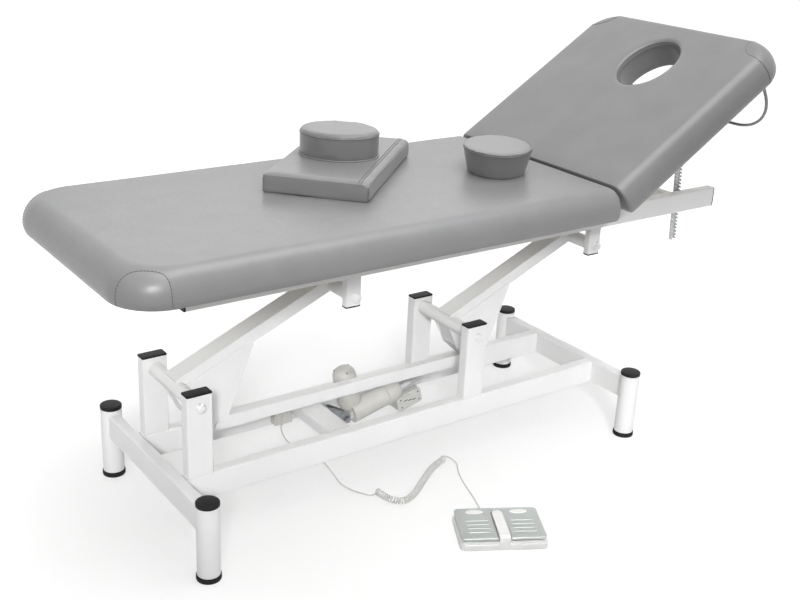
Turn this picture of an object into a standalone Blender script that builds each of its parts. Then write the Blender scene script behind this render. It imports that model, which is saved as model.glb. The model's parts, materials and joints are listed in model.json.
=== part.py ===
"""Electric treatment table: a lifting steel base, a padded two-section top and a foot switch.

Everything is laid out about the middle of the base, +X towards the head end, +Z up, in metres.
One empty then puts the floor centre of the near foot-end leg at the world origin.
"""
import math

import bmesh
import bpy
from mathutils import Matrix, Vector

# Clearance between pieces that touch
GAP = 0.0003

# Legs, feet and caps
LEG_SPAN_X = 1.230
LEG_SPAN_Y = 0.502
LEG_D = 0.050
LEG_WALL = 0.002
LEG_TOP = 0.176
LEG_CAP_D = 0.051
LEG_CAP_H = 0.010
FOOT_D = 0.054
FOOT_H = 0.012

# Rectangular tubes of the base
RAIL_W = 0.030
RAIL_H = 0.060
RAIL_BOTTOM = 0.106
RAIL_GAUGE = 0.222
TUBE_WALL = 0.002
TUBE_CORNER = 0.004
MEMBER_W = 0.059
MEMBER_H = 0.030
MEMBER_OFFSET = 0.3725
UPRIGHT_W = 0.060
UPRIGHT_H = 0.190
PIVOT_SETBACK = 0.048
PIVOT_SPAN = 0.749
PIVOT_RISE = 0.164

# Lift arms, pivots and levers
ARM_LENGTH = 0.4267
ARM_ANGLE = math.radians(23.26)
ARM_W = 0.051
ARM_H = 0.030
ARM_RISE = 0.0075
PIVOT_TUBE_D = 0.034
BOLT_D = 0.012
BOLT_HEAD_D = 0.021
BOLT_HEAD_H = 0.007
PLATE_T = 0.004
LEVER_ALONG = 0.0379
LEVER_DROP = 0.1371
LEVER_TIP_R = 0.013
WEB_DROP = 0.066
GUSSET_REACH = 0.192
LINK_H = 0.030
LINK_W = 0.020
LINK_PIN_D = 0.010
LINK_HEAD_D = 0.017

# Linear actuator
ACTUATOR_Y = 0.0125
CLEVIS_REACH = 0.0523
CLEVIS_PIN_DROP = 0.0415
CLEVIS_T = 0.004
CLEVIS_PIN_D = 0.010
LUG_D = 0.022
LUG_W = 0.020
HOUSING_D = 0.052
HOUSING_START = 0.022
HOUSING_END = 0.137
COLLAR_D = 0.056
COLLAR_W = 0.010
NOSE_D = 0.040
NOSE_END = 0.166
OUTER_TUBE_D = 0.026
OUTER_TUBE_END = 0.286
ROD_D = 0.014
ROD_TAIL = 0.215
ROD_EYE_D = 0.028
ROD_EYE_W = 0.016
MOTOR_D = 0.058
MOTOR_Y = 0.030
MOTOR_AT = 0.034
MOTOR_SEAT = 0.030
MOTOR_TOP = 0.135
TERMINAL_W = 0.044
TERMINAL_START = 0.145
TERMINAL_END = 0.219
TERMINAL_DEPTH = 0.0415

# Junction box on the far rail, with the mains inlet and the cord outlet
JUNCTION_W = 0.048
JUNCTION_D = 0.025
JUNCTION_H = 0.045
JUNCTION_BOTTOM = 0.115
GLAND_D = 0.008
GLAND_H = 0.008
INLET_W = 0.016
INLET_H = 0.010
INLET_DEPTH = 0.008

# Bed frame, measured from the foot arm's upper pivot
BED_RAIL_W = 0.030
BED_RAIL_H = 0.050
BED_RAIL_RISE = 0.0915
BED_WIDTH = 0.428
BED_RAIL_FOOT = 0.460
BED_RAIL_HEAD = 1.064
BAR_W = 0.040
HEAD_BAR_W = 0.025
HEAD_BAR_AT = 0.918
STUB_W = 0.040
STUB_D = 0.020
STUB_SPAN = 0.185
STUB_SET = 0.004
STUB_DROP = 0.0211

# Padded sections
BOARD_T = 0.012
PAD_T = 0.072
PAD_WIDTH = 0.614
PAD_WRAP = 0.007
FOOT_PAD_START = 0.608
FOOT_CORNER = 0.100
HEAD_CORNER = 0.080
HINGE_CORNER = 0.014
HINGE_AT = 0.627
HINGE_RISE = 0.036
HINGE_ROD_D = 0.008
KNUCKLE_D = 0.014
LEAF_T = 0.0032
LUG_PLATE_T = 0.008
LUG_PLATE_W = 0.013
HEAD_TILT = math.radians(31.5)
HEAD_LENGTH = 0.610
HOLE_AT = 0.435
HOLE_LENGTH = 0.190
HOLE_WIDTH = 0.150

# Ratchet strut and its guide
STRUT_W = 0.017
STRUT_T = 0.010
STRUT_AT = 0.357
STRUT_LENGTH = 0.334
STRUT_LEAN = math.radians(3.9)
GUIDE_T = 0.003
GUIDE_SIDE = 0.003
GUIDE_REACH = 0.066
GUIDE_H = 0.020
GUIDE_DROP = 0.015
GUIDE_CLEARANCE = 0.001

# Wire roll holder under the head end
HOLDER_D = 0.006
HOLDER_AT = 0.545
HOLDER_WIDTH = 0.530
HOLDER_DROP = 0.180
HOLDER_BEND = 0.070

# Loose cushions
PILLOW_W = 0.235
PILLOW_L = 0.440
PILLOW_T = 0.045
PILLOW_CORNER = 0.030
PILLOW_TURN = math.radians(42.5)
PILLOW_AT = (0.108, 0.120)
DISC_LENGTH = 0.192
DISC_WIDTH = 0.170
DISC_H = 0.055
PLUG_LENGTH = 0.208
PLUG_WIDTH = 0.170
PLUG_TAPER = 0.842
PLUG_H = 0.064
PLUG_TURN = math.radians(51.6)
PLUG_AT = (0.462, -0.025)

# Foot switch
SWITCH_AT = (0.0135, -0.4475)
SWITCH_TURN = math.radians(-28.8)
SWITCH_W = 0.199
SWITCH_D = 0.129
SWITCH_BASE_H = 0.015
SWITCH_TIER_H = 0.004
SWITCH_TIER_INSET = 0.006
RIB_W = 0.012
PLATE_LIFT = 0.0048
PEDAL_T = 0.005
PEDAL_W = 0.090
PEDAL_D = 0.1175
RIDGE_D = 0.0075
STRAP_W = 0.022
STRAP_T = 0.0033
STRAP_LIP_T = 0.003
SWITCH_GLAND_D = 0.009
SWITCH_GLAND_L = 0.012
SWITCH_GLAND_X = -0.028
SWITCH_GLAND_Z = 0.008

# Foot switch cord
CORD_D = 0.0035
CORD_STEP = 0.009
COIL_R = 0.007
COIL_TURNS = 40.5
COIL_POINTS = 8
COIL_ROUTE = [
    (-0.129, -0.162),
    (-0.121, -0.207),
    (-0.099, -0.230),
    (-0.064, -0.221),
    (-0.008, -0.184),
    (0.051, -0.145),
    (0.105, -0.122),
]

# Positions that follow from the sizes above
LEG_X = LEG_SPAN_X / 2
LEG_Y = LEG_SPAN_Y / 2
RAIL_TOP = RAIL_BOTTOM + RAIL_H
RAIL_Y = RAIL_GAUGE / 2
RAIL_INNER = RAIL_Y - RAIL_W / 2
RAIL_OUTER = RAIL_Y + RAIL_W / 2
PIVOT_FOOT_X = -LEG_X + PIVOT_SETBACK
PIVOT_HEAD_X = PIVOT_FOOT_X + PIVOT_SPAN
PIVOT_Z = RAIL_TOP + PIVOT_RISE
MEMBER_X = PIVOT_FOOT_X + MEMBER_OFFSET
BED_X = PIVOT_FOOT_X + ARM_LENGTH * math.cos(ARM_ANGLE)
BED_Z = PIVOT_Z + ARM_LENGTH * math.sin(ARM_ANGLE)
PLATE_INNER = ARM_W / 2
PLATE_OUTER = PLATE_INNER + PLATE_T
LINK_NEAR = -PLATE_INNER + 0.001
LINK_Y = LINK_NEAR + LINK_W / 2
STUB_INNER = STUB_SPAN / 2
BED_RAIL_TOP = BED_RAIL_RISE + BED_RAIL_H
BED_RAIL_Y = BED_WIDTH / 2 - BED_RAIL_W / 2
BED_RAIL_INNER = BED_WIDTH / 2 - BED_RAIL_W
HEAD_START = KNUCKLE_D / 2 + LEAF_T + 2 * GAP
FOOT_PAD_END = HINGE_AT - KNUCKLE_D / 2 - 2 * GAP
HINGE_Z = BED_RAIL_TOP + HINGE_RISE
HEAD_UNDER = -HINGE_RISE + GAP
PAD_TOP = BED_RAIL_TOP + GAP + PAD_T
LEVER_X = LEVER_ALONG * math.cos(ARM_ANGLE) + LEVER_DROP * math.sin(ARM_ANGLE)
LEVER_Z = LEVER_ALONG * math.sin(ARM_ANGLE) - LEVER_DROP * math.cos(ARM_ANGLE)
CLEVIS_X = MEMBER_X + MEMBER_W / 2 + CLEVIS_REACH
CLEVIS_Z = RAIL_TOP - CLEVIS_PIN_DROP
ROD_X = PIVOT_HEAD_X + LEVER_X - CLEVIS_X
ROD_Z = PIVOT_Z + LEVER_Z - CLEVIS_Z
ROD_REACH = math.hypot(ROD_X, ROD_Z)
ACTUATOR_ANGLE = math.atan2(ROD_Z, ROD_X)
STRUT_DROP = -HEAD_UNDER + STRUT_W / 2 + GAP
GUIDE_HALF = STRUT_T / 2 + GUIDE_SIDE + GUIDE_T
STRUT_Y = GUIDE_HALF + GUIDE_CLEARANCE - BED_RAIL_INNER
JUNCTION_X = MEMBER_X - MEMBER_W / 2 - GAP - JUNCTION_W / 2
JUNCTION_Y = RAIL_INNER - GAP - JUNCTION_D / 2
GLAND_X = JUNCTION_X
GLAND_Y = JUNCTION_Y
TIER_TOP = SWITCH_BASE_H + SWITCH_TIER_H
PEDAL_BOTTOM = TIER_TOP + PLATE_LIFT
PEDAL_TOP = PEDAL_BOTTOM + PEDAL_T
STRAP_BOTTOM = PEDAL_TOP + 2 * GAP
PEDAL_BACK = SWITCH_D / 2 - SWITCH_TIER_INSET - 0.001
COIL_Z = COIL_R + CORD_D / 2 + GAP
CORD_Z = CORD_D / 2 + GAP

FINISHES = {
    "white_paint": ("#f2f2f0", 0.35, 0.0),
    "black_plastic": ("#1d1d1f", 0.55, 0.0),
    "bolt_zinc": ("#d8d9d6", 0.35, 1.0),
    "grey_vinyl": ("#9b9b9c", 0.45, 0.0),
    "plywood": ("#b99a6b", 0.70, 0.0),
    "greige_plastic": ("#c8c6bf", 0.45, 0.0),
    "silver_tube": ("#c4c6c8", 0.30, 1.0),
    "zinc_strut": ("#b4b6b8", 0.40, 1.0),
    "chrome_wire": ("#e6e7e8", 0.08, 1.0),
    "silver_pedal": ("#b9babb", 0.38, 0.6),
    "white_plastic": ("#ececea", 0.45, 0.0),
    "cord_grey": ("#c9c9c6", 0.50, 0.0),
}

for item in list(bpy.data.objects):
    bpy.data.objects.remove(item, do_unlink=True)

SCENE = bpy.context.scene
PARTS = bpy.data.collections.new("electric_treatment_table")
CUTTERS = bpy.data.collections.new("cutters")
SCENE.collection.children.link(PARTS)
SCENE.collection.children.link(CUTTERS)


def srgb_to_linear(value):
    if value <= 0.04045:
        return value / 12.92
    return ((value + 0.055) / 1.055) ** 2.4


def make_material(name):
    code, rough, metal = FINISHES[name]
    channels = [int(code[i:i + 2], 16) / 255 for i in (1, 3, 5)]
    material = bpy.data.materials.new(name)
    material.use_nodes = True
    shader = material.node_tree.nodes["Principled BSDF"]
    colour = [srgb_to_linear(c) for c in channels]
    shader.inputs["Base Color"].default_value = (*colour, 1.0)
    shader.inputs["Roughness"].default_value = rough
    shader.inputs["Metallic"].default_value = metal
    material.diffuse_color = (*colour, 1.0)
    return material


MATERIALS = {name: make_material(name) for name in FINISHES}


def make_empty(name, location, parent=None, turn=0.0):
    empty = bpy.data.objects.new(name, None)
    empty.empty_display_size = 0.05
    empty.location = location
    empty.rotation_euler = (0.0, 0.0, turn)
    empty.parent = parent
    PARTS.objects.link(empty)
    return empty


TABLE = make_empty("table", (LEG_X, LEG_Y, 0.0))
BED_POINT = (BED_X, 0.0, BED_Z)
HINGE_POINT = (BED_X + HINGE_AT, 0.0, BED_Z + HINGE_Z)
CLEVIS_POINT = (CLEVIS_X, ACTUATOR_Y, CLEVIS_Z)


def place(piece, finish, at=(0.0, 0.0, 0.0), tilt=0.0, turn=0.0, parent=None, smooth=False):
    """Give a piece its finish and set it in the table; tilt raises its +X end."""
    piece.data.materials.clear()
    piece.data.materials.append(MATERIALS[finish])
    piece.location = at
    piece.rotation_euler = (0.0, -tilt, turn)
    piece.parent = parent or TABLE
    if smooth:
        piece.data.shade_smooth()
        piece.data.set_sharp_from_angle(angle=math.radians(38))
    return piece


def add_solid(name, mesh, collection=PARTS):
    mesh.name = name
    solid = bpy.data.objects.new(name, mesh)
    collection.objects.link(solid)
    return solid


def finish_mesh(mesh, build):
    bmesh.ops.remove_doubles(build, verts=build.verts, dist=0.000001)
    bmesh.ops.recalc_face_normals(build, faces=build.faces)
    build.to_mesh(mesh)
    build.free()
    return mesh


def curve_to_mesh(curve):
    holder = bpy.data.objects.new("outline", curve)
    CUTTERS.objects.link(holder)
    graph = bpy.context.evaluated_depsgraph_get()
    mesh = bpy.data.meshes.new_from_object(holder.evaluated_get(graph))
    bpy.data.objects.remove(holder, do_unlink=True)
    build = bmesh.new()
    build.from_mesh(mesh)
    return finish_mesh(mesh, build)


def outline_mesh(outlines, depth):
    """A flat outline with any holes, extruded by depth about its own plane."""
    curve = bpy.data.curves.new("outline", "CURVE")
    curve.dimensions = "2D"
    curve.fill_mode = "BOTH"
    curve.extrude = depth / 2
    for outline in outlines:
        spline = curve.splines.new("POLY")
        spline.points.add(len(outline) - 1)
        for point, (x, y) in zip(spline.points, outline):
            point.co = (x, y, 0.0, 1.0)
        spline.use_cyclic_u = True
    return curve_to_mesh(curve)


def rounded_outline(corners, steps=4):
    """Corners as (x, y, radius), in order; each one is rounded by an arc."""
    points = []
    count = len(corners)
    for i, (x, y, radius) in enumerate(corners):
        here = Vector((x, y))
        before = Vector(corners[i - 1][:2]) - here
        after = Vector(corners[(i + 1) % count][:2]) - here
        if radius <= 0.0:
            points.append((x, y))
            continue
        before.normalize()
        after.normalize()
        half = before.angle(after) / 2
        reach = radius / math.tan(half)
        centre = here + (before + after).normalized() * (radius / math.sin(half))
        first = here + before * reach - centre
        last = here + after * reach - centre
        sweep = first.angle_signed(last)
        start = math.atan2(first.y, first.x)
        for step in range(steps + 1):
            angle = start - sweep * step / steps
            points.append((centre.x + radius * math.cos(angle), centre.y + radius * math.sin(angle)))
    return points


def box_outline(width, height, radius, steps=2):
    x = width / 2
    y = height / 2
    return rounded_outline([(-x, -y, radius), (x, -y, radius), (x, y, radius), (-x, y, radius)], steps)


def oval_outline(length, width, count=32, centre=(0.0, 0.0)):
    step = 2 * math.pi / count
    return [
        (centre[0] + length / 2 * math.cos(i * step), centre[1] + width / 2 * math.sin(i * step))
        for i in range(count)
    ]


def axes(at, along):
    """Matrix whose local Z runs along X, Y or Z at a point; local X keeps the width."""
    turns = {
        "X": Matrix(((0, 0, 1), (1, 0, 0), (0, 1, 0))),
        "Y": Matrix(((1, 0, 0), (0, 0, -1), (0, 1, 0))),
        "Z": Matrix.Identity(3),
    }
    return Matrix.Translation(at) @ turns[along].to_4x4()


def prism(outlines, depth, at=(0.0, 0.0, 0.0), along="Z"):
    mesh = outline_mesh(outlines, depth)
    mesh.transform(axes(at, along))
    if along == "Y":
        mesh.update()
    return mesh


def box_tube(width, height, length, at, along):
    inner = box_outline(width - 2 * TUBE_WALL, height - 2 * TUBE_WALL, TUBE_CORNER - TUBE_WALL)
    return prism([box_outline(width, height, TUBE_CORNER), inner], length, at, along)


def box(size, at):
    mesh = bpy.data.meshes.new("box")
    build = bmesh.new()
    bmesh.ops.create_cube(build, size=1.0, matrix=Matrix.Translation(at) @ Matrix.Diagonal((*size, 1.0)))
    return finish_mesh(mesh, build)


def cylinder(diameter, length, at, along="Z", sides=24, top=None):
    mesh = bpy.data.meshes.new("cylinder")
    build = bmesh.new()
    radius = diameter / 2
    far = radius if top is None else top / 2
    bmesh.ops.create_cone(
        build, cap_ends=True, segments=sides, radius1=radius, radius2=far, depth=length, matrix=axes(at, along)
    )
    return finish_mesh(mesh, build)


def loft(rings):
    """A closed skin over a stack of like-numbered rings, with flat ends."""
    mesh = bpy.data.meshes.new("loft")
    build = bmesh.new()
    loops = [[build.verts.new(point) for point in ring] for ring in rings]
    count = len(loops[0])
    for low, high in zip(loops, loops[1:]):
        for i in range(count):
            j = (i + 1) % count
            build.faces.new((low[i], low[j], high[j], high[i]))
    build.faces.new(loops[0])
    build.faces.new(loops[-1])
    return finish_mesh(mesh, build)


def combine(solid, mesh, operation):
    tool = add_solid("cutter", mesh, CUTTERS)
    tool.hide_render = True
    tool.display_type = "WIRE"
    modifier = solid.modifiers.new(operation, "BOOLEAN")
    modifier.operation = operation
    modifier.solver = "EXACT"
    modifier.object = tool
    graph = bpy.context.evaluated_depsgraph_get()
    result = bpy.data.meshes.new_from_object(solid.evaluated_get(graph))
    solid.modifiers.clear()
    solid.data = result
    bpy.data.objects.remove(tool, do_unlink=True)


def add_to(solid, *meshes):
    for mesh in meshes:
        combine(solid, mesh, "UNION")


def cut_from(solid, *meshes):
    for mesh in meshes:
        combine(solid, mesh, "DIFFERENCE")


def smooth_path(points, spacing):
    """Evenly spaced points on a smooth curve through hand-chosen route points."""
    route = [Vector(p) for p in points]
    route = [2 * route[0] - route[1], *route, 2 * route[-1] - route[-2]]
    dense = []
    for a, b, c, d in zip(route, route[1:], route[2:], route[3:]):
        k1 = (b - a).length ** 0.5
        k2 = (c - b).length ** 0.5
        k3 = (d - c).length ** 0.5
        m1 = (c - b) + k2 * ((b - a) / k1 - (c - a) / (k1 + k2))
        m2 = (c - b) + k2 * ((d - c) / k3 - (d - b) / (k2 + k3))
        for step in range(32):
            t = step / 32
            s = t * t
            w = s * t
            dense.append(
                b * (2 * w - 3 * s + 1) + m1 * (w - 2 * s + t) + c * (3 * s - 2 * w) + m2 * (w - s)
            )
    dense.append(route[-2])
    lengths = [0.0]
    for first, second in zip(dense, dense[1:]):
        lengths.append(lengths[-1] + (second - first).length)
    count = max(2, round(lengths[-1] / spacing))
    path = []
    index = 0
    for step in range(count + 1):
        target = lengths[-1] * step / count
        while index < len(dense) - 2 and lengths[index + 1] < target:
            index += 1
        span = lengths[index + 1] - lengths[index]
        path.append(dense[index].lerp(dense[index + 1], (target - lengths[index]) / span))
    return path


def tube(name, points, diameter, resolution):
    curve = bpy.data.curves.new(name, "CURVE")
    curve.dimensions = "3D"
    curve.bevel_depth = diameter / 2
    curve.bevel_resolution = resolution
    curve.use_fill_caps = True
    spline = curve.splines.new("POLY")
    spline.points.add(len(points) - 1)
    for point, place_at in zip(spline.points, points):
        point.co = (*place_at, 1.0)
    spline.use_smooth = True
    run = bpy.data.objects.new(name, curve)
    PARTS.objects.link(run)
    return run


# Legs with their feet and caps, and the end cross rails coped to them
for end, x in (("foot", -LEG_X), ("head", LEG_X)):
    for side, y in (("near", -LEG_Y), ("far", LEG_Y)):
        rings = [oval_outline(LEG_D, LEG_D, 28), oval_outline(LEG_D - 2 * LEG_WALL, LEG_D - 2 * LEG_WALL, 28)]
        low = FOOT_H + GAP
        leg = add_solid(f"leg_{end}_{side}", prism(rings, LEG_TOP - low, (x, y, (LEG_TOP + low) / 2)))
        place(leg, "white_paint", smooth=True)
        foot = add_solid(f"foot_{end}_{side}", cylinder(FOOT_D, FOOT_H, (x, y, FOOT_H / 2), sides=28))
        place(foot, "black_plastic", smooth=True)
        cap_z = LEG_TOP + GAP + LEG_CAP_H / 2
        cap = add_solid(f"leg_cap_{end}_{side}", cylinder(LEG_CAP_D, LEG_CAP_H, (x, y, cap_z), sides=28))
        place(cap, "black_plastic", smooth=True)
    middle = RAIL_BOTTOM + RAIL_H / 2
    rail = add_solid(f"cross_rail_{end}", box_tube(RAIL_W, RAIL_H, LEG_SPAN_Y, (x, 0.0, middle), "Y"))
    for y in (-LEG_Y, LEG_Y):
        cut_from(rail, cylinder(LEG_D + 2 * GAP, RAIL_H * 2, (x, y, middle), sides=28))
    place(rail, "white_paint")

# Long rails, the cross member between them and the four uprights
for side, y in (("near", -RAIL_Y), ("far", RAIL_Y)):
    length = LEG_SPAN_X - RAIL_W - 2 * GAP
    rail = add_solid(
        f"long_rail_{side}", box_tube(RAIL_W, RAIL_H, length, (0.0, y, RAIL_BOTTOM + RAIL_H / 2), "X")
    )
    place(rail, "white_paint")
    for end, x in (("foot", PIVOT_FOOT_X), ("head", PIVOT_HEAD_X)):
        z = RAIL_TOP + GAP + UPRIGHT_H / 2
        upright = add_solid(f"upright_{end}_{side}", box_tube(UPRIGHT_W, RAIL_W, UPRIGHT_H, (x, y, z), "Z"))
        cut_from(upright, cylinder(BOLT_D + 2 * GAP, RAIL_W * 2, (x, y, PIVOT_Z), "Y", 16))
        place(upright, "white_paint")

member = add_solid(
    "cross_member",
    box_tube(MEMBER_W, MEMBER_H, 2 * (RAIL_INNER - GAP), (MEMBER_X, 0.0, RAIL_TOP - MEMBER_H / 2), "Y"),
)
place(member, "white_paint")


def pivot_bolt(name, reach, at, finish="bolt_zinc"):
    """A through bolt along Y with a domed head at each end, outside two faces at +-reach."""
    grip = reach + GAP
    bolt = add_solid(name, cylinder(BOLT_D, 2 * grip + BOLT_HEAD_H, (0.0, 0.0, 0.0), "Y", 16))
    for sign in (-1, 1):
        top = 0.6 * BOLT_HEAD_D
        first, last = (top, BOLT_HEAD_D) if sign > 0 else (BOLT_HEAD_D, top)
        y = sign * (grip + BOLT_HEAD_H / 2)
        add_to(bolt, cylinder(first, BOLT_HEAD_H, (0.0, y, 0.0), "Y", 16, last))
    return place(bolt, finish, at, smooth=True)


# Lift arms: tube, pivot tubes and the folded lever below the lower pivot
def lift_arm(name, at):
    arm = add_solid(name, box((ARM_LENGTH, ARM_W, ARM_H), (ARM_LENGTH / 2, 0.0, ARM_RISE)))
    add_to(arm, cylinder(PIVOT_TUBE_D, 2 * (RAIL_INNER - GAP), (0.0, 0.0, 0.0), "Y", 24))
    add_to(arm, cylinder(PIVOT_TUBE_D, 2 * (STUB_INNER - GAP), (ARM_LENGTH, 0.0, 0.0), "Y", 24))
    under = ARM_RISE - ARM_H / 4
    lever = rounded_outline(
        [
            (-0.016, under, 0.0),
            (-0.012, -0.55 * LEVER_DROP, 0.02),
            (LEVER_ALONG - 1.25 * LEVER_TIP_R, -LEVER_DROP - LEVER_TIP_R, LEVER_TIP_R * 0.9),
            (LEVER_ALONG + 1.05 * LEVER_TIP_R, -LEVER_DROP - LEVER_TIP_R, LEVER_TIP_R * 0.7),
            (GUSSET_REACH, ARM_RISE - ARM_H / 2 - 0.0015, 0.0),
            (GUSSET_REACH, under, 0.0),
        ]
    )
    for sign in (-1, 1):
        y = sign * (PLATE_INNER + PLATE_T / 2 - 0.0004)
        add_to(arm, prism([lever], PLATE_T, (0.0, y, 0.0), "Y"))
    web_height = WEB_DROP - 0.010
    add_to(arm, box((PLATE_T, ARM_W + PLATE_T, web_height), (-0.0105, 0.0, -0.010 - web_height / 2)))
    bore = BOLT_D + 2 * GAP
    cut_from(arm, cylinder(bore, RAIL_GAUGE, (0.0, 0.0, 0.0), "Y", 16))
    cut_from(arm, cylinder(bore, RAIL_GAUGE, (ARM_LENGTH, 0.0, 0.0), "Y", 16))
    pin = LINK_PIN_D + 2 * GAP
    cut_from(arm, cylinder(pin, PLATE_T * 3, (LEVER_ALONG, -PLATE_INNER - PLATE_T / 2, -LEVER_DROP), "Y", 16))
    return place(arm, "white_paint", at, ARM_ANGLE)


for end, x in (("foot", PIVOT_FOOT_X), ("head", PIVOT_HEAD_X)):
    lift_arm(f"lift_arm_{end}", (x, 0.0, PIVOT_Z))
    pivot_bolt(f"lower_pivot_{end}", RAIL_OUTER, (x, 0.0, PIVOT_Z))

# Link bar between the two levers, on its own two pins
link_outline = box_outline(PIVOT_SPAN + LINK_H, LINK_H, LINK_H * 0.46, 5)
link = add_solid("link_bar", prism([link_outline], LINK_W, (PIVOT_SPAN / 2, 0.0, 0.0), "Y"))
link_face = LINK_NEAR - LINK_Y
for x in (0.0, PIVOT_SPAN):
    outside = -PLATE_OUTER - LINK_Y - GAP
    shank = link_face + 0.002 - outside
    add_to(link, cylinder(LINK_PIN_D, shank + 0.002, (x, outside + shank / 2 - 0.001, 0.0), "Y", 16))
    add_to(link, cylinder(LINK_HEAD_D, 0.005, (x, outside - 0.0025, 0.0), "Y", 16))
place(link, "white_paint", (PIVOT_FOOT_X + LEVER_X, LINK_Y, PIVOT_Z + LEVER_Z))

# Actuator clevis on the cross member, with its pin
clevis_outline = rounded_outline(
    [
        (-CLEVIS_REACH + GAP, 0.0395, 0.0),
        (-CLEVIS_REACH + 0.014, 0.0395, 0.004),
        (0.011, 0.011, 0.006),
        (0.011, -0.011, 0.008),
        (-0.012, -0.011, 0.008),
        (-CLEVIS_REACH + GAP, 0.015, 0.0),
    ]
)
clevis_back = (CLEVIS_T, LUG_W + 2 * GAP + CLEVIS_T, 0.0235)
clevis = add_solid("actuator_clevis", box(clevis_back, (-CLEVIS_REACH + 2 * GAP + CLEVIS_T / 2, 0.0, 0.0272)))
for sign in (-1, 1):
    add_to(clevis, prism([clevis_outline], CLEVIS_T, (0.0, sign * (LUG_W / 2 + GAP + CLEVIS_T / 2), 0.0), "Y"))
pin_length = LUG_W + 2 * GAP + 2 * CLEVIS_T + 0.006
add_to(clevis, cylinder(CLEVIS_PIN_D, pin_length, (0.0, 0.0, 0.0), "Y", 16))
place(clevis, "white_paint", CLEVIS_POINT)

# Gear housing with its rear lug, motor seat, collar, nose and terminal box
housing = add_solid(
    "gear_housing",
    cylinder(HOUSING_D, HOUSING_END - HOUSING_START, ((HOUSING_END + HOUSING_START) / 2, 0.0, 0.0), "X", 28),
)
add_to(housing, cylinder(LUG_D, LUG_W, (0.0, 0.0, 0.0), "Y", 20))
add_to(housing, box((HOUSING_START + 0.004, LUG_W - 0.0006, LUG_D * 0.8), ((HOUSING_START + 0.004) / 2, 0.0, 0.0)))
add_to(housing, cylinder(COLLAR_D, COLLAR_W, (HOUSING_END - 0.7 * COLLAR_W, 0.0, 0.0), "X", 28))
nose_start = HOUSING_END - 0.003
add_to(housing, cylinder(NOSE_D, NOSE_END - nose_start, ((NOSE_END + nose_start) / 2, 0.0, 0.0), "X", 28))
seat_bottom = 0.6 * MOTOR_SEAT
seat_y = MOTOR_Y - ACTUATOR_Y
add_to(
    housing,
    cylinder(MOTOR_D + 0.002, MOTOR_SEAT - seat_bottom, (MOTOR_AT, seat_y, (MOTOR_SEAT + seat_bottom) / 2), "Z", 28),
)
terminal_top = -OUTER_TUBE_D / 2 - 2 * GAP
terminal_length = TERMINAL_END - TERMINAL_START
terminal_box = prism(
    [box_outline(terminal_length, TERMINAL_DEPTH, 0.006)],
    TERMINAL_W,
    ((TERMINAL_END + TERMINAL_START) / 2, 0.0, terminal_top - TERMINAL_DEPTH / 2),
    "Y",
)
add_to(housing, terminal_box)
cut_from(housing, cylinder(CLEVIS_PIN_D + 2 * GAP, LUG_W * 2, (0.0, 0.0, 0.0), "Y", 16))
place(housing, "greige_plastic", CLEVIS_POINT, ACTUATOR_ANGLE, smooth=True)

motor_rings = []
for height, scale in ((0.0, 1.0), (0.80, 1.0), (0.92, 0.95), (0.98, 0.82), (1.0, 0.62)):
    z = MOTOR_SEAT + GAP + (MOTOR_TOP - MOTOR_SEAT - GAP) * height
    size = MOTOR_D * scale
    motor_rings.append([(x, y, z) for x, y in oval_outline(size, size, 28, (MOTOR_AT, seat_y))])
place(add_solid("motor", loft(motor_rings)), "greige_plastic", CLEVIS_POINT, ACTUATOR_ANGLE, smooth=True)

tube_start = NOSE_END + GAP
outer = prism(
    [oval_outline(OUTER_TUBE_D, OUTER_TUBE_D, 24), oval_outline(ROD_D + 2 * GAP, ROD_D + 2 * GAP, 24)],
    OUTER_TUBE_END - tube_start,
    ((OUTER_TUBE_END + tube_start) / 2, 0.0, 0.0),
    "X",
)
place(add_solid("outer_tube", outer), "silver_tube", CLEVIS_POINT, ACTUATOR_ANGLE, smooth=True)

rod_length = ROD_REACH - ROD_TAIL
rod = add_solid("actuator_rod", cylinder(ROD_D, rod_length, (ROD_TAIL + rod_length / 2, 0.0, 0.0), "X", 24))
add_to(rod, cylinder(ROD_EYE_D, ROD_EYE_W, (ROD_REACH, 0.0, 0.0), "Y", 24))
place(rod, "silver_tube", CLEVIS_POINT, ACTUATOR_ANGLE, smooth=True)

# Junction box on the far rail: mains inlet at its foot end, cord outlet below
junction = add_solid(
    "junction_box",
    prism(
        [box_outline(JUNCTION_W, JUNCTION_D, 0.002)],
        JUNCTION_H,
        (JUNCTION_X, JUNCTION_Y, JUNCTION_BOTTOM + JUNCTION_H / 2),
    ),
)
gland_z = JUNCTION_BOTTOM - GLAND_H
add_to(junction, cylinder(GLAND_D, GLAND_H + 0.002, (GLAND_X, GLAND_Y, gland_z + (GLAND_H + 0.002) / 2), "Z", 16))
inlet_at = (JUNCTION_X - JUNCTION_W / 2, JUNCTION_Y, JUNCTION_BOTTOM + 0.6 * JUNCTION_H)
cut_from(junction, box((2 * INLET_DEPTH, INLET_W, INLET_H), inlet_at))
place(junction, "greige_plastic")

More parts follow.
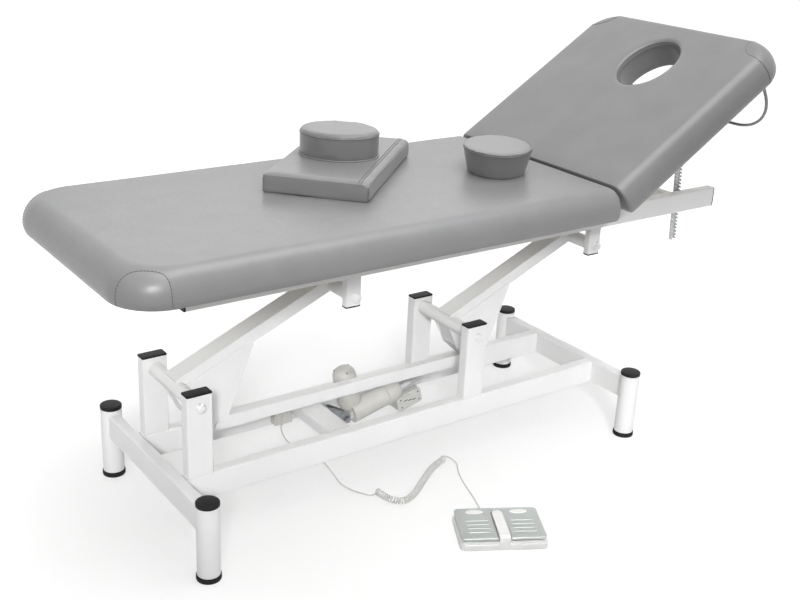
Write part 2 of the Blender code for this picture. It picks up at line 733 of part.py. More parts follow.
# Bed frame
for side, sign in (("near", -1), ("far", 1)):
    length = BED_RAIL_HEAD + BED_RAIL_FOOT
    at = (BED_RAIL_HEAD - length / 2, sign * BED_RAIL_Y, BED_RAIL_RISE + BED_RAIL_H / 2)
    rail = add_solid(f"bed_rail_{side}", box_tube(BED_RAIL_W, BED_RAIL_H, length, at, "X"))
    place(rail, "white_paint", BED_POINT)
    for end, x in (("foot", 0.0), ("head", PIVOT_SPAN)):
        high = BED_RAIL_RISE - GAP
        at = (x - STUB_SET, sign * (STUB_INNER + STUB_D / 2), (high - STUB_DROP) / 2)
        stub = add_solid(f"hanger_{end}_{side}", box_tube(STUB_W, STUB_D, high + STUB_DROP, at, "Z"))
        hole = cylinder(BOLT_D + 2 * GAP, STUB_D * 2, (x, sign * (STUB_INNER + STUB_D / 2), 0.0), "Y", 16)
        cut_from(stub, hole)
        place(stub, "white_paint", BED_POINT)

bar_length = 2 * (BED_RAIL_INNER - GAP)
bar_z = BED_RAIL_RISE + BED_RAIL_H / 2
for name, x, width in (
    ("bed_bar_foot", -STUB_SET, BAR_W),
    ("bed_bar_head", PIVOT_SPAN - STUB_SET, BAR_W),
    ("bed_bar_rest", HEAD_BAR_AT, HEAD_BAR_W),
):
    bar = add_solid(name, box_tube(width, BED_RAIL_H, bar_length, (x, 0.0, bar_z), "Y"))
    place(bar, "white_paint", BED_POINT)
for end, x in (("foot", 0.0), ("head", PIVOT_SPAN)):
    pivot_bolt(f"upper_pivot_{end}", STUB_INNER + STUB_D, (BED_X + x, 0.0, BED_Z))

# Hinge: a fixed rod on two lugs, and the head section's knuckle with its leaf
lug_reach = BED_RAIL_Y
hinge = add_solid("hinge_rod", cylinder(HINGE_ROD_D, 2 * lug_reach, (0.0, 0.0, 0.0), "Y", 16))
for sign in (-1, 1):
    lug_low = -HINGE_RISE + GAP
    lug = rounded_outline(
        [
            (-LUG_PLATE_W / 2, lug_low, 0.0),
            (LUG_PLATE_W / 2, lug_low, 0.0),
            (LUG_PLATE_W / 2, LUG_PLATE_W / 2, LUG_PLATE_W * 0.45),
            (-LUG_PLATE_W / 2, LUG_PLATE_W / 2, LUG_PLATE_W * 0.45),
        ]
    )
    add_to(hinge, prism([lug], LUG_PLATE_T, (0.0, sign * (lug_reach - LUG_PLATE_T / 4), 0.0), "Y"))
place(hinge, "bolt_zinc", HINGE_POINT, smooth=True)

knuckle_half = lug_reach - LUG_PLATE_T - GAP
leaf = add_solid("hinge_leaf", cylinder(KNUCKLE_D, 2 * knuckle_half, (0.0, 0.0, 0.0), "Y", 20))
leaf_high = 0.002
leaf_low = HEAD_UNDER
leaf_near = KNUCKLE_D / 2 - 0.0008
leaf_far = HEAD_START - GAP
add_to(
    leaf,
    box(
        (leaf_far - leaf_near, 2 * knuckle_half - 0.001, leaf_high - leaf_low),
        ((leaf_far + leaf_near) / 2, 0.0, (leaf_high + leaf_low) / 2),
    ),
)
cut_from(leaf, cylinder(HINGE_ROD_D + 2 * GAP, 3 * knuckle_half, (0.0, 0.0, 0.0), "Y", 16))
place(leaf, "bolt_zinc", HINGE_POINT, HEAD_TILT, smooth=True)


# Padded sections: each rises from a drawn-in edge to a rolled shoulder and a low crown
SHOULDER = [
    (0.0, 0.0040, 0.0016),
    (0.014, 0.0006, 0.0),
    (0.030, 0.0, 0.0),
    (0.044, 0.0028, 0.0006),
    (0.0545, 0.0100, 0.0024),
    (0.0618, 0.0205, 0.0060),
    (0.0662, 0.0345, 0.0115),
    (0.0695, 0.0620, 0.0260),
    (0.0714, 0.1000, 0.0480),
    (0.0720, 0.1250, 0.0620),
]


def pad_outline(start, end, half, start_radius, end_radius, steps=8):
    return rounded_outline(
        [
            (start, -half, start_radius),
            (end, -half, end_radius),
            (end, half, end_radius),
            (start, half, start_radius),
        ],
        steps,
    )


def pad_rings(start, end, base, start_corner, end_corner, start_scale, end_scale):
    rings = []
    for height, side, joint in SHOULDER:
        left = start + (side if start_scale == 0 else joint * start_scale)
        right = end - (side if end_scale == 0 else joint * end_scale)
        half = PAD_WIDTH / 2 - side
        first = max(start_corner - 0.5 * side, 0.006)
        last = max(end_corner - 0.5 * side, 0.006)
        z = base + PAD_T * height / SHOULDER[-1][0]
        rings.append([(x, y, z) for x, y in pad_outline(left, right, half, first, last)])
    return rings


def board_outline(start, end, start_corner, end_corner, inset):
    half = PAD_WIDTH / 2 - inset
    first = max(start_corner - inset, 0.004)
    last = max(end_corner - inset, 0.004)
    return pad_outline(start, end, half, first, last, 6)


pad_base = BED_RAIL_TOP + GAP
foot_pad = add_solid(
    "foot_cushion", loft(pad_rings(-FOOT_PAD_START, FOOT_PAD_END, pad_base, FOOT_CORNER, HINGE_CORNER, 0, 1.0))
)
pocket_top = BOARD_T + 2 * GAP
pocket = board_outline(
    -FOOT_PAD_START + PAD_WRAP - GAP, FOOT_PAD_END - PAD_WRAP + GAP, FOOT_CORNER, HINGE_CORNER, PAD_WRAP - GAP
)
cut_from(foot_pad, prism([pocket], 2 * pocket_top, (0.0, 0.0, pad_base)))
place(foot_pad, "grey_vinyl", BED_POINT, smooth=True)
panel = board_outline(-FOOT_PAD_START + PAD_WRAP, FOOT_PAD_END - PAD_WRAP, FOOT_CORNER, HINGE_CORNER, PAD_WRAP)
foot_board = add_solid("foot_board", prism([panel], BOARD_T, (0.0, 0.0, pad_base + BOARD_T / 2)))
place(foot_board, "plywood", BED_POINT)

head_end = HEAD_START + HEAD_LENGTH
hole_x = HEAD_START + HOLE_AT
head_pad = add_solid(
    "head_cushion", loft(pad_rings(HEAD_START, head_end, HEAD_UNDER, HINGE_CORNER, HEAD_CORNER, 2.4, 0))
)
pocket = board_outline(
    HEAD_START + PAD_WRAP - GAP, head_end - PAD_WRAP + GAP, HINGE_CORNER, HEAD_CORNER, PAD_WRAP - GAP
)
cut_from(head_pad, prism([pocket], 2 * pocket_top, (0.0, 0.0, HEAD_UNDER)))
cut_from(head_pad, prism([oval_outline(HOLE_LENGTH, HOLE_WIDTH, 32, (hole_x, 0.0))], 4 * PAD_T))
place(head_pad, "grey_vinyl", HINGE_POINT, HEAD_TILT, smooth=True)
panel = board_outline(HEAD_START + PAD_WRAP, head_end - PAD_WRAP, HINGE_CORNER, HEAD_CORNER, PAD_WRAP)
panel_hole = oval_outline(HOLE_LENGTH, HOLE_WIDTH, 32, (hole_x, 0.0))
head_board = add_solid("head_board", prism([panel, panel_hole], BOARD_T, (0.0, 0.0, HEAD_UNDER + BOARD_T / 2)))
place(head_board, "plywood", HINGE_POINT, HEAD_TILT)

# Ratchet strut hung under the head section, and its guide on the last bar
strut_outline = rounded_outline(
    [
        (-STRUT_W / 2, -STRUT_LENGTH, 0.0015),
        (STRUT_W / 2, -STRUT_LENGTH, 0.0015),
        (STRUT_W / 2, STRUT_W / 2, STRUT_W * 0.48),
        (-STRUT_W / 2, STRUT_W / 2, STRUT_W * 0.48),
    ],
    5,
)
strut = add_solid("ratchet_strut", prism([strut_outline], STRUT_T, (0.0, 0.0, 0.0), "Y"))
strut_x = STRUT_AT * math.cos(HEAD_TILT) + STRUT_DROP * math.sin(HEAD_TILT)
strut_z = STRUT_AT * math.sin(HEAD_TILT) - STRUT_DROP * math.cos(HEAD_TILT)
place(strut, "zinc_strut", (HINGE_POINT[0] + strut_x, STRUT_Y, HINGE_POINT[2] + strut_z), STRUT_LEAN)
guide_start = HEAD_BAR_AT + HEAD_BAR_W / 2 + GAP
guide_hole = [
    (guide_start + 4 * GUIDE_T, STRUT_Y - GUIDE_HALF + GUIDE_T),
    (guide_start + GUIDE_REACH - GUIDE_T, STRUT_Y - GUIDE_HALF + GUIDE_T),
    (guide_start + GUIDE_REACH - GUIDE_T, STRUT_Y + GUIDE_HALF - GUIDE_T),
    (guide_start + 4 * GUIDE_T, STRUT_Y + GUIDE_HALF - GUIDE_T),
]
guide_rim = rounded_outline(
    [
        (guide_start, STRUT_Y - GUIDE_HALF, 0.0),
        (guide_start + GUIDE_REACH, STRUT_Y - GUIDE_HALF, 0.002),
        (guide_start + GUIDE_REACH, STRUT_Y + GUIDE_HALF, 0.002),
        (guide_start, STRUT_Y + GUIDE_HALF, 0.0),
    ]
)
guide = add_solid(
    "strut_guide", prism([guide_rim, guide_hole], GUIDE_H, (0.0, 0.0, BED_RAIL_TOP - GUIDE_DROP - GUIDE_H / 2))
)
place(guide, "zinc_strut", BED_POINT)

# Wire roll holder
holder_half = HOLDER_WIDTH / 2
holder_x = HEAD_START + HOLDER_AT
holder_low = HEAD_UNDER - HOLDER_DROP
wire = [(holder_x, -holder_half, HEAD_UNDER - GAP)]
for step in range(9):
    turn = math.pi / 2 * step / 8
    wire.append(
        (
            holder_x,
            -holder_half + HOLDER_BEND * (1 - math.cos(turn)),
            holder_low + HOLDER_BEND * (1 - math.sin(turn)),
        )
    )
wire += [(x, -y, z) for x, y, z in reversed(wire)]
place(tube("roll_holder", wire, HOLDER_D, 3), "chrome_wire", HINGE_POINT, HEAD_TILT)


# Loose cushions on the foot section
def oval_rings(length, width, base, profile):
    rings = []
    for height, inset in profile:
        outline = oval_outline(length - 2 * inset, width - 2 * inset, 32)
        rings.append([(x, y, base + height) for x, y in outline])
    return rings


rest_z = PAD_TOP + GAP
pillow_profile = (
    (0.0, 0.020),
    (0.06, 0.010),
    (0.25, 0.002),
    (0.50, 0.0),
    (0.75, 0.003),
    (0.92, 0.012),
    (0.98, 0.024),
    (1.0, 0.040),
)
pillow_rings = []
for height, inset in pillow_profile:
    outline = box_outline(PILLOW_L - 2 * inset, PILLOW_W - 2 * inset, PILLOW_CORNER - 0.4 * inset, 6)
    pillow_rings.append([(x, y, PILLOW_T * height) for x, y in outline])
pillow = add_solid("pillow", loft(pillow_rings))
disc_profile = (
    (-0.004, 0.001),
    (0.004, 0.0),
    (0.78 * DISC_H, 0.0015),
    (0.92 * DISC_H, 0.006),
    (0.985 * DISC_H, 0.015),
    (DISC_H, 0.030),
)
disc = oval_rings(DISC_WIDTH, DISC_LENGTH, PILLOW_T, disc_profile)
add_to(pillow, loft(disc))
pillow_at = (BED_X + PILLOW_AT[0], PILLOW_AT[1], BED_Z + rest_z)
place(pillow, "grey_vinyl", pillow_at, 0.0, PILLOW_TURN, smooth=True)

plug_profile = []
for height, swell, inset in (
    (0.0, 0.0, 0.008),
    (0.05, 0.04, 0.002),
    (0.15, 0.14, 0.0),
    (0.80, 0.92, 0.0),
    (0.90, 1.0, 0.001),
    (0.97, 1.0, 0.007),
    (1.0, 1.0, 0.020),
):
    shrink = PLUG_LENGTH * (1 - PLUG_TAPER) / 2 * (1 - swell)
    plug_profile.append((PLUG_H * height, shrink + inset))
plug = add_solid("face_plug", loft(oval_rings(PLUG_LENGTH, PLUG_WIDTH, 0.0, plug_profile)))
place(plug, "grey_vinyl", (BED_X + PLUG_AT[0], PLUG_AT[1], BED_Z + rest_z), 0.0, PLUG_TURN, smooth=True)

# Foot switch, laid out in its own frame with its back at +Y
SWITCH = make_empty("foot_switch", (*SWITCH_AT, 0.0), TABLE, SWITCH_TURN)
switch = add_solid(
    "switch_base", prism([box_outline(SWITCH_W, SWITCH_D, 0.012, 4)], SWITCH_BASE_H, (0.0, 0.0, SWITCH_BASE_H / 2))
)
tier_w = SWITCH_W - 2 * SWITCH_TIER_INSET
tier_d = SWITCH_D - 2 * SWITCH_TIER_INSET
tier_h = SWITCH_TIER_H + 0.002
add_to(switch, prism([box_outline(tier_w, tier_d, 0.008, 4)], tier_h, (0.0, 0.0, TIER_TOP - tier_h / 2)))
rib_h = STRAP_BOTTOM - TIER_TOP + 0.002
add_to(switch, box((RIB_W, tier_d - 0.004, rib_h), (0.0, 0.0, STRAP_BOTTOM - rib_h / 2 + 0.001)))
ridge_h = PLATE_LIFT - GAP + 0.002
ridge_w = 2 * (RIB_W / 2 + 2 * GAP + PEDAL_W) - 0.004
ridge_at = (0.0, PEDAL_BACK - RIDGE_D / 2, PEDAL_BOTTOM - GAP - ridge_h / 2)
add_to(switch, box((ridge_w, RIDGE_D, ridge_h), ridge_at))
strap_front = -SWITCH_D / 2 + 0.0005
strap_back = PEDAL_BACK + 0.001
strap_at = (0.0, (strap_front + strap_back) / 2, STRAP_BOTTOM + STRAP_T / 2)
add_to(switch, box((STRAP_W, strap_back - strap_front, STRAP_T), strap_at))
lip_h = STRAP_BOTTOM + 0.001 - SWITCH_BASE_H + 0.004
lip_at = (0.0, strap_front + STRAP_LIP_T / 2 + 0.0002, SWITCH_BASE_H - 0.004 + lip_h / 2)
add_to(switch, box((STRAP_W - 0.0006, STRAP_LIP_T, lip_h), lip_at))
switch_gland_at = (SWITCH_GLAND_X, SWITCH_D / 2 + SWITCH_GLAND_L / 2 - 0.001, SWITCH_GLAND_Z)
add_to(switch, cylinder(SWITCH_GLAND_D, SWITCH_GLAND_L + 0.002, switch_gland_at, "Y", 16))
place(switch, "white_plastic", parent=SWITCH)
hinge_z = PEDAL_BOTTOM + PEDAL_T / 2
for side, sign in (("left", -1), ("right", 1)):
    x = sign * (RIB_W / 2 + 2 * GAP + PEDAL_W / 2)
    outline = box_outline(PEDAL_W, PEDAL_D, 0.007, 4)
    plate = add_solid(f"pedal_{side}", prism([outline], PEDAL_T, (x, -PEDAL_D / 2, 0.0)))
    place(plate, "silver_pedal", (0.0, PEDAL_BACK, hinge_z), parent=SWITCH)

# Foot switch cord: plain lead, curled middle, plain lead
coil_axis = smooth_path([(x, y, COIL_Z) for x, y in COIL_ROUTE], 0.001)
coil_length = sum((b - a).length for a, b in zip(coil_axis, coil_axis[1:]))
coil_steps = round(COIL_TURNS * COIL_POINTS)
coil = []
for step in range(coil_steps + 1):
    along = step / coil_steps * (len(coil_axis) - 1)
    index = min(int(along), len(coil_axis) - 2)
    centre = coil_axis[index].lerp(coil_axis[index + 1], along - index)
    low = coil_axis[max(index - 6, 0)]
    high = coil_axis[min(index + 7, len(coil_axis) - 1)]
    forward = (high - low).normalized()
    left = Vector((-forward.y, forward.x, 0.0))
    phase = -math.pi / 2 + 2 * math.pi * step / COIL_POINTS
    coil.append(centre + COIL_R * (left * math.cos(phase) + Vector((0.0, 0.0, 1.0)) * math.sin(phase)))
# Both ends run straight for one cord diameter, level and along the curl they leave
first_way = (coil[0] - coil[1])
first_way.z = 0.0
first_way.normalize()
last_way = (coil[-1] - coil[-2])
last_way.z = 0.0
last_way.normalize()
coil.insert(0, coil[0] + first_way * CORD_D * 1.2)
coil.append(coil[-1] + last_way * CORD_D * 1.2)

coil_spacings = []
for i, here in enumerate(coil):
    for j in range(i + COIL_POINTS // 2, len(coil) - 1):
        part = coil[j + 1] - coil[j]
        t = max(0.0, min(1.0, (here - coil[j]).dot(part) / part.length_squared))
        coil_spacings.append((here - coil[j] - part * t).length)
print("least gap of the coil to itself, mm:", round((min(coil_spacings) - CORD_D) * 1000, 3))
place(tube("cord_coil", coil, CORD_D, 1), "cord_grey")

lead_end = coil[0] + first_way * GAP
lead_a = [
    (GLAND_X, GLAND_Y, gland_z - GAP),
    (GLAND_X, GLAND_Y, gland_z - 0.014),
    (GLAND_X + 0.010, GLAND_Y - 0.009, gland_z - 0.042),
    (-0.212, 0.038, 0.044),
    (-0.180, 0.000, 0.026),
    (-0.174, -0.039, 0.0095),
    (-0.177, -0.082, CORD_Z + 0.0004),
    (-0.170, -0.120, CORD_Z),
    (-0.156, -0.146, CORD_Z),
    tuple(lead_end + first_way * 0.012),
    tuple(lead_end),
]
path_a = smooth_path(lead_a, CORD_STEP)
path_a = [Vector((p.x, p.y, max(p.z, CORD_Z))) for p in path_a]
place(tube("cord_lead_table", path_a, CORD_D, 2), "cord_grey")

switch_turn = Matrix.Rotation(SWITCH_TURN, 4, "Z")
back_y = SWITCH_D / 2 + SWITCH_GLAND_L + GAP
switch_end = Vector((*SWITCH_AT, 0.0)) + switch_turn @ Vector((SWITCH_GLAND_X, back_y, SWITCH_GLAND_Z))
switch_way = switch_turn @ Vector((0.0, 1.0, 0.0))
lead_start = coil[-1] + last_way * GAP
lead_b = [
    tuple(lead_start),
    tuple(lead_start + last_way * 0.010),
    (0.118, -0.156, 0.0095),
    (0.104, -0.182, 0.0040),
    (0.086, -0.222, CORD_Z),
    (0.072, -0.262, CORD_Z),
    (0.058, -0.302, CORD_Z + 0.0010),
    tuple(switch_end + switch_way * 0.014),
    tuple(switch_end),
]
path_b = smooth_path(lead_b, CORD_STEP)
path_b = [Vector((p.x, p.y, max(p.z, CORD_Z))) for p in path_b]
place(tube("cord_lead_switch", path_b, CORD_D, 2), "cord_grey")


def run_length(points):
    return sum((b - a).length for a, b in zip(points, points[1:]))


print("cord lengths, m:", round(run_length(path_a), 3), round(run_length(coil), 3), round(run_length(path_b), 3))
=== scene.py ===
"""Electric treatment table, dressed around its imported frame: pads, caps, cord, finishes and studio.

Everything is in metres in the row frame: +X runs from the foot end to the head end, +Y away from the
camera's side, +Z up, and the floor centre of the near foot-end leg is the origin.
"""
from __future__ import annotations

import json
import logging
import math
from collections.abc import Iterable, Sequence
from dataclasses import dataclass, field
from enum import Enum

import bmesh
import bpy
from bpy.types import ID, Material, Node, NodeSocket, NodeTree, Object
from mathutils import Matrix, Vector, noise
from mathutils.bvhtree import BVHTree


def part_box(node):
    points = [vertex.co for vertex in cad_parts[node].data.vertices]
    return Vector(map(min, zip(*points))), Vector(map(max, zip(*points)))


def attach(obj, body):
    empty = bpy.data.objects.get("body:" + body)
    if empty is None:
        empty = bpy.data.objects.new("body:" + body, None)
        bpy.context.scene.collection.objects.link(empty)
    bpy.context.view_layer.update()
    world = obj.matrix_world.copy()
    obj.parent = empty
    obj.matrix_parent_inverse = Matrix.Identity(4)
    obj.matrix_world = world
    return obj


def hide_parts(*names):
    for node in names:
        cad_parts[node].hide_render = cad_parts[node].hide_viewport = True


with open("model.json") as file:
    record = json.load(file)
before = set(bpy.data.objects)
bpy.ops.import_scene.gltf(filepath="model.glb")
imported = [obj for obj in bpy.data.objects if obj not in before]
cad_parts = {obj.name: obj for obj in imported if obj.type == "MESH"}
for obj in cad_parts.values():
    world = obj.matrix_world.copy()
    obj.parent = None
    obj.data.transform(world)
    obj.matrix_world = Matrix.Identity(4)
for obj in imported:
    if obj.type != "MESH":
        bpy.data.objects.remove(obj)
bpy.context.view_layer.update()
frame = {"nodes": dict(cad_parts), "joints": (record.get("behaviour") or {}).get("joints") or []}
LOG = logging.getLogger("treatment_table")
Pair = tuple[float, float]
Triple = tuple[float, float, float]
MM = 0.001
UP = Vector((0.0, 0.0, 1.0))
WHITE = (1.0, 1.0, 1.0, 1.0)
JOINTS = {joint["name"]: joint for joint in frame["joints"]}
SIDES = ("near", "far")
ENDS = ("foot", "head")
# Middle of the base on the floor, and the foot switch's place and turn about it
BASE_MIDDLE = (0.615, 0.251, 0.0)
SWITCH_AT = (0.0135, -0.4475, 0.0)
SWITCH_TURN = math.radians(-28.8)
# Where the cord ends in the foot switch's gland, in the switch's own frame
SWITCH_GLAND = (-0.028, 0.0768, 0.008)
# Index of refraction of the paints and plastics
PLASTIC_IOR = 1.5
# Spacing of the points along a sewn seam: a stitch spans two of three
SEAM_STEP = 2.2 * MM
# Height of the head pad's underside above the hinge axis
HEAD_UNDERSIDE = -0.0357
# How far the head section is raised at rest
HEAD_REST = math.radians(31.5)


def linear(colour: str) -> tuple[float, float, float, float]:
    """Turn an sRGB hex colour into linear values.

    Args:
        colour: Colour as "#rrggbb".

    Returns:
        Linear red, green, blue and an alpha of 1.
    """
    channels = [int(colour[i:i + 2], 16) / 255 for i in (1, 3, 5)]
    values = [c / 12.92 if c <= 0.04045 else ((c + 0.055) / 1.055) ** 2.4 for c in channels]
    return (values[0], values[1], values[2], 1.0)


def set_node(
    tree: NodeTree,
    node: Node,
    settings: dict[str | int, object] | None = None,
    links: dict[str | int, NodeSocket] | None = None,
) -> Node:
    """Give a shader node its settings and links.

    Args:
        tree: Node tree that holds the node.
        node: The node.
        settings: Values by socket name or number, or by attribute name where no socket has it.
        links: Sockets to link in, by the name or number of the socket that takes each.

    Returns:
        The same node.
    """
    for key, value in (settings or {}).items():
        if isinstance(key, int) or key in node.inputs:
            node.inputs[key].default_value = value
        else:
            setattr(node, key, value)
    for key, socket in (links or {}).items():
        tree.links.new(socket, node.inputs[key])
    return node


def add_node(
    tree: NodeTree,
    kind: str,
    settings: dict[str | int, object] | None = None,
    links: dict[str | int, NodeSocket] | None = None,
) -> Node:
    """Add one shader node of a kind, with settings and links as in set_node."""
    return set_node(tree, tree.nodes.new(kind), settings, links)


def add_object(name: str, data: ID) -> Object:
    """Put a mesh, curve, camera or lamp into the scene as an object."""
    shown = bpy.data.objects.new(name, data)
    bpy.context.scene.collection.objects.link(shown)
    return shown


@dataclass(frozen=True)
class Finish:
    """A surface finish: two ends of its colour, its gloss, and a relief that its subclass draws.

    Attributes:
        name: Name of the material.
        light: Lighter end of the colour variation, sRGB hex.
        dark: Darker end of the colour variation, sRGB hex.
        blotch_mm: Size of the patches in which the colour varies.
        gloss: Lowest and highest roughness.
        metallic: 1 for bare metal, else 0.
        grain_mm: Spacing of the relief.
        relief_mm: Height of the relief.
        specular: Strength of the dielectric reflection, 0.5 for the plain Fresnel value.
        coat: Weight of a clear top coat.
        sheen: Weight of the soft brightening at grazing angles.
    """

    name: str
    light: str
    dark: str
    blotch_mm: float
    gloss: Pair
    metallic: float = 0.0
    grain_mm: float = 1.0
    relief_mm: float = 0.02
    specular: float = 0.5
    coat: float = 0.0
    sheen: float = 0.0

    def relief(self, tree: NodeTree, place: NodeSocket) -> NodeSocket:
        """Draw the relief as plain fine noise.

        Args:
            tree: The material's node tree.
            place: Socket with the object's own coordinates, in metres.

        Returns:
            Socket with the height, from 0 to 1.
        """
        settings = {"Scale": 1.0 / (self.grain_mm * MM), "Detail": 2.0}
        return add_node(tree, "ShaderNodeTexNoise", settings, {"Vector": place}).outputs["Fac"]

    def build(self) -> Material:
        """Make the material.

        Returns:
            A node material that varies in colour, roughness and relief.
        """
        material = bpy.data.materials.new(self.name)
        material.use_nodes = True
        tree = material.node_tree
        place = add_node(tree, "ShaderNodeTexCoord").outputs["Object"]
        blotch = add_node(
            tree,
            "ShaderNodeTexNoise",
            {"Scale": 1.0 / (self.blotch_mm * MM), "Detail": 4.0, "Roughness": 0.6},
            {"Vector": place},
        )
        tint = add_node(tree, "ShaderNodeValToRGB", links={"Fac": blotch.outputs["Fac"]})
        for stop, position, colour in zip(tint.color_ramp.elements, (0.3, 0.7), (self.dark, self.light)):
            stop.position = position
            stop.color = linear(colour)
        height = self.relief(tree, place)
        gloss = add_node(
            tree,
            "ShaderNodeMapRange",
            {"From Min": 0.25, "From Max": 0.75, "To Min": self.gloss[1], "To Max": self.gloss[0]},
            {"Value": height},
        )
        bump = add_node(
            tree, "ShaderNodeBump", {"Strength": 1.0, "Distance": self.relief_mm * MM}, {"Height": height}
        )
        settings = {
            "Metallic": self.metallic,
            "IOR": PLASTIC_IOR,
            "Specular IOR Level": self.specular,
            "Coat Weight": self.coat,
            "Coat Roughness": 0.3,
            "Sheen Weight": self.sheen,
            "Sheen Roughness": 0.4,
        }
        links = {
            "Base Color": tint.outputs["Color"],
            "Roughness": gloss.outputs["Result"],
            "Normal": bump.outputs["Normal"],
        }
        set_node(tree, tree.nodes["Principled BSDF"], settings, links)
        return material


@dataclass(frozen=True)
class EmbossedVinyl(Finish):
    """PVC upholstery vinyl, embossed with a fine pebble grain: satin, with soft broad highlights."""

    def relief(self, tree: NodeTree, place: NodeSocket) -> NodeSocket:
        """Draw rounded pebbles, pulled about by a slower noise. Args and Returns as in Finish."""
        size = self.grain_mm * MM
        warp = add_node(tree, "ShaderNodeTexNoise", {"Scale": 0.3 / size, "Detail": 2.0}, {"Vector": place})
        shift = add_node(
            tree,
            "ShaderNodeVectorMath",
            {"operation": "MULTIPLY_ADD", 1: (size, size, size)},
            {0: warp.outputs["Color"], 2: place},
        )
        pebble = add_node(
            tree,
            "ShaderNodeTexVoronoi",
            {"feature": "SMOOTH_F1", "Scale": 1.0 / size, "Smoothness": 0.5},
            {"Vector": shift.outputs["Vector"]},
        )
        return pebble.outputs["Distance"]


@dataclass(frozen=True)
class Lined(Finish):
    """Drawn or plated metal, or straight wood grain: fine lines one way, which stretch the highlight."""

    stretch: Triple = (0.05, 1.0, 1.0)

    def relief(self, tree: NodeTree, place: NodeSocket) -> NodeSocket:
        """Draw noise stretched along the lines. Args and Returns as in Finish."""
        scale = 1.0 / (self.grain_mm * MM)
        lines = add_node(
            tree,
            "ShaderNodeMapping",
            {"Scale": tuple(scale * part for part in self.stretch)},
            {"Vector": place},
        )
        settings = {"Scale": 1.0, "Detail": 3.0}
        drawn = add_node(tree, "ShaderNodeTexNoise", settings, {"Vector": lines.outputs["Vector"]})
        return drawn.outputs["Fac"]


# Pale grey upholstery: satin, a shade lighter where it catches the light, grain drawn twice as coarse as
# the real 1.3 mm pebble so that it shows at this distance
VINYL = EmbossedVinyl(
    "pebble_grain_vinyl", "#848485", "#7d7d7e", 90.0, (0.34, 0.46),
    grain_mm=2.6, relief_mm=0.08, specular=0.6, coat=0.2, sheen=0.1,
)
# Epoxy powder coat on steel: bright, slightly wavy like orange peel
POWDER_COAT = Finish(
    "white_powder_coat", "#f6f6f6", "#f2f2f2", 160.0, (0.28, 0.38), grain_mm=2.4, relief_mm=0.03
)
# Moulded polyethylene plugs and caps: black, dull, with a spark-eroded mould texture
BLACK_CAP = Finish(
    "black_moulded_polyethylene", "#161617", "#101011", 14.0, (0.42, 0.58),
    grain_mm=1.4, relief_mm=0.05, specular=0.25,
)
# Rubber feet: blacker and duller than the caps
RUBBER = Finish(
    "black_rubber", "#131314", "#0d0d0e", 9.0, (0.62, 0.78), grain_mm=1.2, relief_mm=0.06, specular=0.3
)
# Zinc-plated steel: bluish grey, softly clouded
ZINC = Lined(
    "zinc_plated_steel", "#a5a8ab", "#8b8e92", 12.0, (0.26, 0.42), metallic=1.0, relief_mm=0.015
)
# Bright zinc plate on the notched strut: paler than the bolts
STRUT_ZINC = Lined(
    "bright_zinc_plated_strut", "#dcdedf", "#c2c4c6", 9.0, (0.40, 0.56), metallic=1.0, relief_mm=0.015
)
# Bright nickel-chrome plate over drawn wire: mirror-like
CHROME = Lined(
    "chrome_plated_wire", "#7c7e81", "#66686b", 30.0, (0.08, 0.16), metallic=1.0, relief_mm=0.004
)
# Clear-anodised aluminium tube: silver, fine lines along the tube
ANODISED = Lined(
    "anodised_aluminium", "#e4e5e6", "#d6d7d9", 22.0, (0.22, 0.36), metallic=1.0, relief_mm=0.010
)
# Moulded ABS of the drive and the junction box: warm pale grey, fine mould texture
DRIVE_ABS = Finish(
    "greige_moulded_abs", "#d6d5d0", "#cbcac5", 40.0, (0.38, 0.50), grain_mm=1.6, relief_mm=0.03
)
# White moulded ABS of the foot switch: half gloss, next to no texture
WHITE_ABS = Finish(
    "white_moulded_abs", "#eeeeec", "#e6e6e4", 35.0, (0.34, 0.46), grain_mm=1.5, relief_mm=0.025
)
# Silver-painted pedals: fine aluminium flake under a satin clear coat
SILVER_PAINT = Finish(
    "silver_painted_pedal", "#c8cdcb", "#b9bebc", 3.0, (0.30, 0.44), metallic=0.45, relief_mm=0.01
)
# Birch plywood: pale brown, straight grain along the table
PLYWOOD = Lined(
    "birch_plywood", "#d0c9bc", "#c1b9a9", 60.0, (0.58, 0.72),
    grain_mm=3.0, relief_mm=0.08, stretch=(0.03, 1.0, 1.0),
)
# Soft PVC cord jacket: pale grey, half gloss
CORD_PVC = Finish(
    "pale_grey_cord_pvc", "#dededb", "#d2d2cf", 18.0, (0.36, 0.48), grain_mm=1.2, relief_mm=0.01
)
# Bonded polyester sewing thread, darker than the vinyl: partly the thread's own grey, partly painted shade of
# the seam's fold, so that each stitch reads
THREAD_AND_SEAM_SHADE = Finish(
    "grey_thread_and_seam_shade", "#474748", "#39393a", 3.0, (0.55, 0.70), grain_mm=0.6, relief_mm=0.05
)


class FinishBook:
    """Makes each finish's material once and hands it out again."""

    def __init__(self) -> None:
        """Start with no material made."""
        self._made: dict[str, Material] = {}

    def __call__(self, finish: Finish) -> Material:
        """Return the finish's material, made at its first use."""
        if finish.name not in self._made:
            self._made[finish.name] = finish.build()
        return self._made[finish.name]


PAINT = FinishBook()


@dataclass
class Shape:
    """Vertices and faces of a piece in the making."""

    points: list[Vector] = field(default_factory=list)
    faces: list[tuple[int, ...]] = field(default_factory=list)

    def add(self, other: Shape) -> Shape:
        """Take another shape's vertices and faces in, and return this shape."""
        first = len(self.points)
        self.points += other.points
        self.faces += [tuple(first + index for index in face) for face in other.faces]
        return self

    def moved(self, matrix: Matrix) -> Shape:
        """Return a copy of the shape, moved by a matrix."""
        return Shape([matrix @ point for point in self.points], list(self.faces))


def placed(at: Sequence[float], turn: float = 0.0, axis: str = "Z") -> Matrix:
    """Return the matrix that turns a piece about one of its axes and then sets it at a point."""
    return Matrix.Translation(at) @ Matrix.Rotation(turn, 4, axis)


